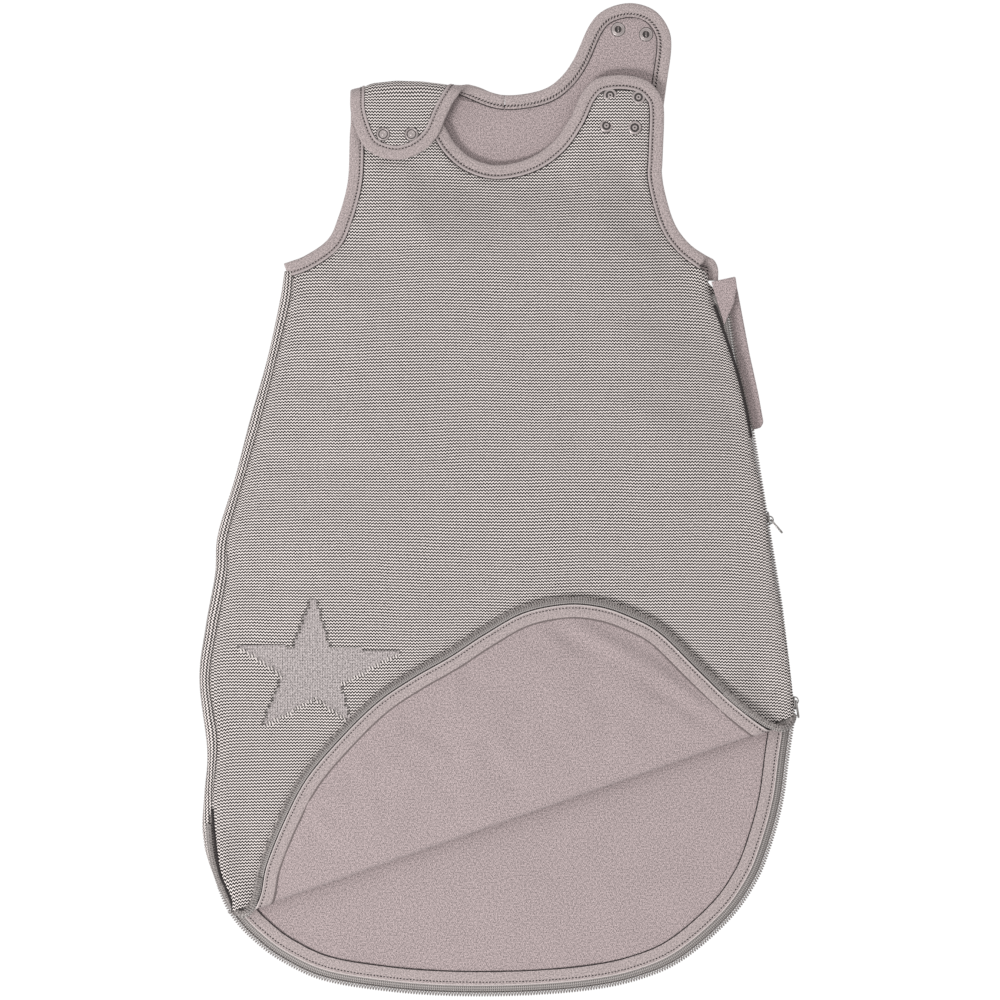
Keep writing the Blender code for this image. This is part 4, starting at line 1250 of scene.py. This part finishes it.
# The dark discs under the cap ring, in the socket's hollow, in the stud's groove and round each snap are painted
# shadow.
CAP_RING = [(3.6, 0), (5.0, 0), (5.05, 0.4), (4.75, 0.8), (4.3, 0.95), (3.85, 0.8), (3.6, 0.4)]
CAP_SHADOW_DISC = [(0.01, -0.3), (5.45, -0.3), (5.45, 0.12), (0.01, 0.12)]
CAP_DOME = [(0.01, 0), (3.0, 0), (2.95, 0.3), (2.4, 0.5), (1.75, 0.3), (1.3, 0.2), (0.9, 0.42), (0.01, 0.5)]
SHADOW_OUTLINE_DISC = [(0.01, -0.3), (5.5, -0.3), (5.5, 0.08), (0.01, 0.08)]
SOCKET_RIM = [
    (2.6, 0), (5.0, 0), (5.05, 0.3), (4.4, 0.55), (3.7, 0.7), (3.6, 1.2), (3.2, 1.45), (2.8, 1.35), (2.6, 0.9),
]
SOCKET_HOLLOW_SHADOW = [(0.01, 0.05), (3.6, 0.05), (3.6, 0.3), (0.01, 0.3)]
STUD_FLANGE = [(0.6, 0), (5.0, 0), (5.05, 0.25), (4.6, 0.5), (3.5, 0.62), (3.25, 0.3), (0.6, 0.3)]
STUD_POST = [(0.7, 0.2), (2.1, 0.2), (1.75, 0.7), (1.95, 1.0), (1.75, 1.3), (1.2, 1.45), (0.75, 1.3)]
STUD_GROOVE_SHADOW = [(0.01, 0.25), (3.3, 0.25), (3.3, 0.42), (0.01, 0.42)]
UNDER_RING = [(2.3, 0), (5.0, 0), (5.0, 0.45), (4.5, 0.7), (3.3, 0.75), (2.3, 0.5)]


# The parts named shade, base, groove and outline are painted shadow.
CAP = (("ring", CAP_RING, SNAP_LOOK), ("shade", CAP_SHADOW_DISC, SNAP_SHADOW_LOOK), ("dome", CAP_DOME, SNAP_LOOK))
SOCKET = (("rim", SOCKET_RIM, SNAP_LOOK), ("base", SOCKET_HOLLOW_SHADOW, SNAP_SHADOW_LOOK), ("outline", SHADOW_OUTLINE_DISC, SNAP_SHADOW_LOOK))
STUD = (
    ("flange", STUD_FLANGE, SNAP_LOOK), ("groove", STUD_GROOVE_SHADOW, SNAP_SHADOW_LOOK), ("outline", SHADOW_OUTLINE_DISC, SNAP_SHADOW_LOOK),
    ("post", STUD_POST, SNAP_LOOK),
)
RING = (("metal", UNDER_RING, SNAP_LOOK),)
CLOSED_CAP_LEVEL = 18.75 * MM
OPEN_CAP_LEVEL = 0.15 * MM


def snap(node, parts, body, level, flipped=False):
    """The round pieces of one part of a snap, in the place of its CAD solid."""
    spot = np.array((middle(node).x, middle(node).y, level))
    for index, (part, profile, look) in enumerate(parts):
        piece = turned(f"{node}_{part}", profile, spot, look, flipped=flipped)
        attach(piece, "snap", body, *([node] if index == 0 else []))
    return spot


def make_snaps():
    for side in ("left", "right"):
        is_closed = side == "left"
        strap = f"{side}_strap"
        for index in (1, 2):
            cap_level = CLOSED_CAP_LEVEL if is_closed else OPEN_CAP_LEVEL
            snap(f"{side}_snap_cap_{index}", CAP, strap, cap_level, flipped=not is_closed)
            socket = f"{side}_snap_socket_{index}"
            level = (high(socket) if is_closed else low(socket)) - 0.1 * MM
            spot = snap(socket, SOCKET, strap, level, flipped=is_closed)
            wire_height = -0.5 if is_closed else 0.5
            wire = spot + np.array([(0, y, wire_height) for y in (-2.5, 0, 2.5)]) * MM
            attach(tube(f"{socket}_wire", wire, 0.4 * MM, SNAP_LOOK, sides=8), "snap", strap)
            for row in ("lower", "upper"):
                stud = f"{side}_{row}_snap_stud_{index}"
                snap(stud, STUD, "bag", low(stud) - 0.1 * MM)
                ring = f"{side}_{row}_snap_ring_{index}"
                snap(ring, RING, "bag", high(ring), flipped=True)


# Sliders

def rounded_plate(name, length, width, thickness, frame_of, look, hole=None, bevel=0.25 * MM):
    """A flat plate with round ends and perhaps a long hole, in the plane of two directions."""
    origin, u, v, w = (np.array(item, float) for item in frame_of)
    steps = 10
    half, radius = length / 2, width / 2

    def ring(a_half, a_radius):
        turns = np.linspace(-math.pi / 2, math.pi / 2, steps)
        right = np.column_stack([a_half - a_radius + a_radius * np.cos(turns), a_radius * np.sin(turns)])
        return np.vstack([right, -right])

    outer = ring(half, radius)
    count = len(outer)
    levels = (-thickness / 2, thickness / 2)
    rings = [outer] if hole is None else [outer, ring(hole[0] / 2, hole[1] / 2) + (hole[2], 0)]
    points, faces = [], []
    for ring_points in rings:
        for level in levels:
            points += [origin + x * u + y * v + level * w for x, y in ring_points]
    if hole is None:
        faces += [tuple(range(count))[::-1], tuple(range(count, 2 * count))]
    for index in range(count):
        after = (index + 1) % count
        faces.append((index, after, count + after, count + index))
        if hole is not None:
            low_in, high_in = 2 * count, 3 * count
            faces.append((low_in + index, high_in + index, high_in + after, low_in + after))
            faces.append((index, low_in + index, low_in + after, after))
            faces.append((count + index, count + after, high_in + after, high_in + index))
    obj = build(name, points, faces, np.array(points)[:, :2], look)
    modifier = obj.modifiers.new("edges", "BEVEL")
    modifier.width = bevel
    modifier.segments = 2
    modifier.limit_method = "ANGLE"
    return obj


# From a slider's middle to the middle of each of its two plates
PLATE_OFFSET = 1.9 * MM


def make_slider(side, heading_points):
    body = f"{side}_slider"
    a, b = np.array(heading_points, float) * MM
    heading = (b - a) / np.linalg.norm(b - a)
    along = np.array([*heading, 0])
    out = np.array([-heading[1], heading[0], 0])
    up = np.array([0, 0, 1.0])
    lowest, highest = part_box(body)
    centre = a + heading * ((np.array(middle(body))[:2] - a) @ heading)
    level = (lowest.z + highest.z) / 2
    tall = highest.z - lowest.z
    origin = np.array([*centre, level])
    outer = origin + PLATE_OFFSET * out
    plate = rounded_plate(
        f"{body}_plate", 10.5 * MM, tall, 1.3 * MM, (outer, along, up, out), METAL_LOOK, bevel=0.4 * MM,
    )
    attach(plate, "slider", body, body)
    inner = origin - PLATE_OFFSET * out
    for name, sizes, frame_of in (
        ("inner_plate", (10.0, 3.0, 0.9), (inner, along, up, out)),
        ("divider", (5.5, 4.2, 0.7), (origin, along, out, up)),
    ):
        attach(rounded_plate(f"{body}_{name}", *(size * MM for size in sizes), frame_of, METAL_LOOK), "slider", body)
    pull = f"{body}_pull"
    joint = next(j for j in frame["joints"] if j["child"] == pull)
    pivot = np.array(joint["pos_m"])
    turns = np.linspace(-math.pi, math.pi, 25)[6:-6]
    shift = (pivot - origin) @ along
    bail_centre = origin + shift * along + 2.3 * MM * out
    arch = [bail_centre + 2.9 * MM * math.sin(t) * along + 2.7 * MM * math.cos(t) * out for t in turns]
    attach(tube(f"{body}_bail", np.array(arch), 0.5 * MM, METAL_LOOK, sides=8), "slider", body)
    far = np.array(middle(pull)) - pivot
    far[2] = 0
    far /= np.linalg.norm(far)
    across = np.array([-far[1], far[0], 0])
    tab = rounded_plate(
        f"{pull}_tab", 14 * MM, 5 * MM, 1.5 * MM, (pivot + 6.6 * MM * far, far, up, across), METAL_LOOK,
        hole=(4.4 * MM, 2.4 * MM, -4.0 * MM), bevel=0.35 * MM,
    )
    attach(tab, "slider", pull, pull)


# Stage

FLOOR_HALF = 4.0
# A little below z = 0
FLOOR_LEVEL = -0.4 * MM
WORLD_STRENGTH = 0.64
# Name, place, size and power
LIGHTS = (
    ("key", (-1.7, -1.6, 2.6), 0.9, 92), ("fill", (0.8, 1.6, 2.2), 2.0, 12), ("top", (0, 0.3, 3.0), 1.6, 9),
)
LENS = 200
SENSOR_WIDTH = 36
SEEN_WIDTH = 769 * MM
CAMERA_SHIFT_Y = -0.8 * MM


def make_stage():
    floor = bpy.data.meshes.new("floor")
    half = FLOOR_HALF
    floor.from_pydata([(-half, -half, 0), (half, -half, 0), (half, half, 0), (-half, half, 0)], [], [(0, 1, 2, 3)])
    floor.materials.append(FLOOR_LOOK)
    obj = bpy.data.objects.new("floor", floor)
    obj.location.z = FLOOR_LEVEL
    bpy.context.scene.collection.objects.link(obj)
    scene = bpy.context.scene
    scene.view_settings.view_transform = "Standard"
    # The stitches are about three pixels across, and denoising would wipe them out.
    scene.cycles.use_denoising = False
    world = bpy.data.worlds.new("studio")
    scene.world = world
    world.use_nodes = True
    world.node_tree.nodes["Background"].inputs["Color"].default_value = (1, 1, 1, 1)
    world.node_tree.nodes["Background"].inputs["Strength"].default_value = WORLD_STRENGTH
    for name, place, size, power in LIGHTS:
        light = bpy.data.lights.new(name, "AREA")
        light.energy = power
        light.size = size
        lamp = bpy.data.objects.new(name, light)
        lamp.location = place
        lamp.rotation_euler = (-Vector(place)).to_track_quat("-Z", "Y").to_euler()
        scene.collection.objects.link(lamp)
    camera = bpy.data.cameras.new("camera")
    camera.lens = LENS
    camera.sensor_width = SENSOR_WIDTH
    camera.clip_end = 20
    rig = bpy.data.objects.new("camera", camera)
    rig.location = (0, CAMERA_SHIFT_Y, FRONT_LEVEL + SEEN_WIDTH * camera.lens / camera.sensor_width)
    scene.collection.objects.link(rig)
    scene.camera = rig


make_stage()
make_front()
make_left_side()
make_back()
make_flap()
make_corners()
make_zip()
make_snaps()
make_slider("upper", (ZIP_UPPER[-1], ZIP_CORNER))
make_slider("lower", (ZIP_CORNER, ZIP_BOTTOM[0]))
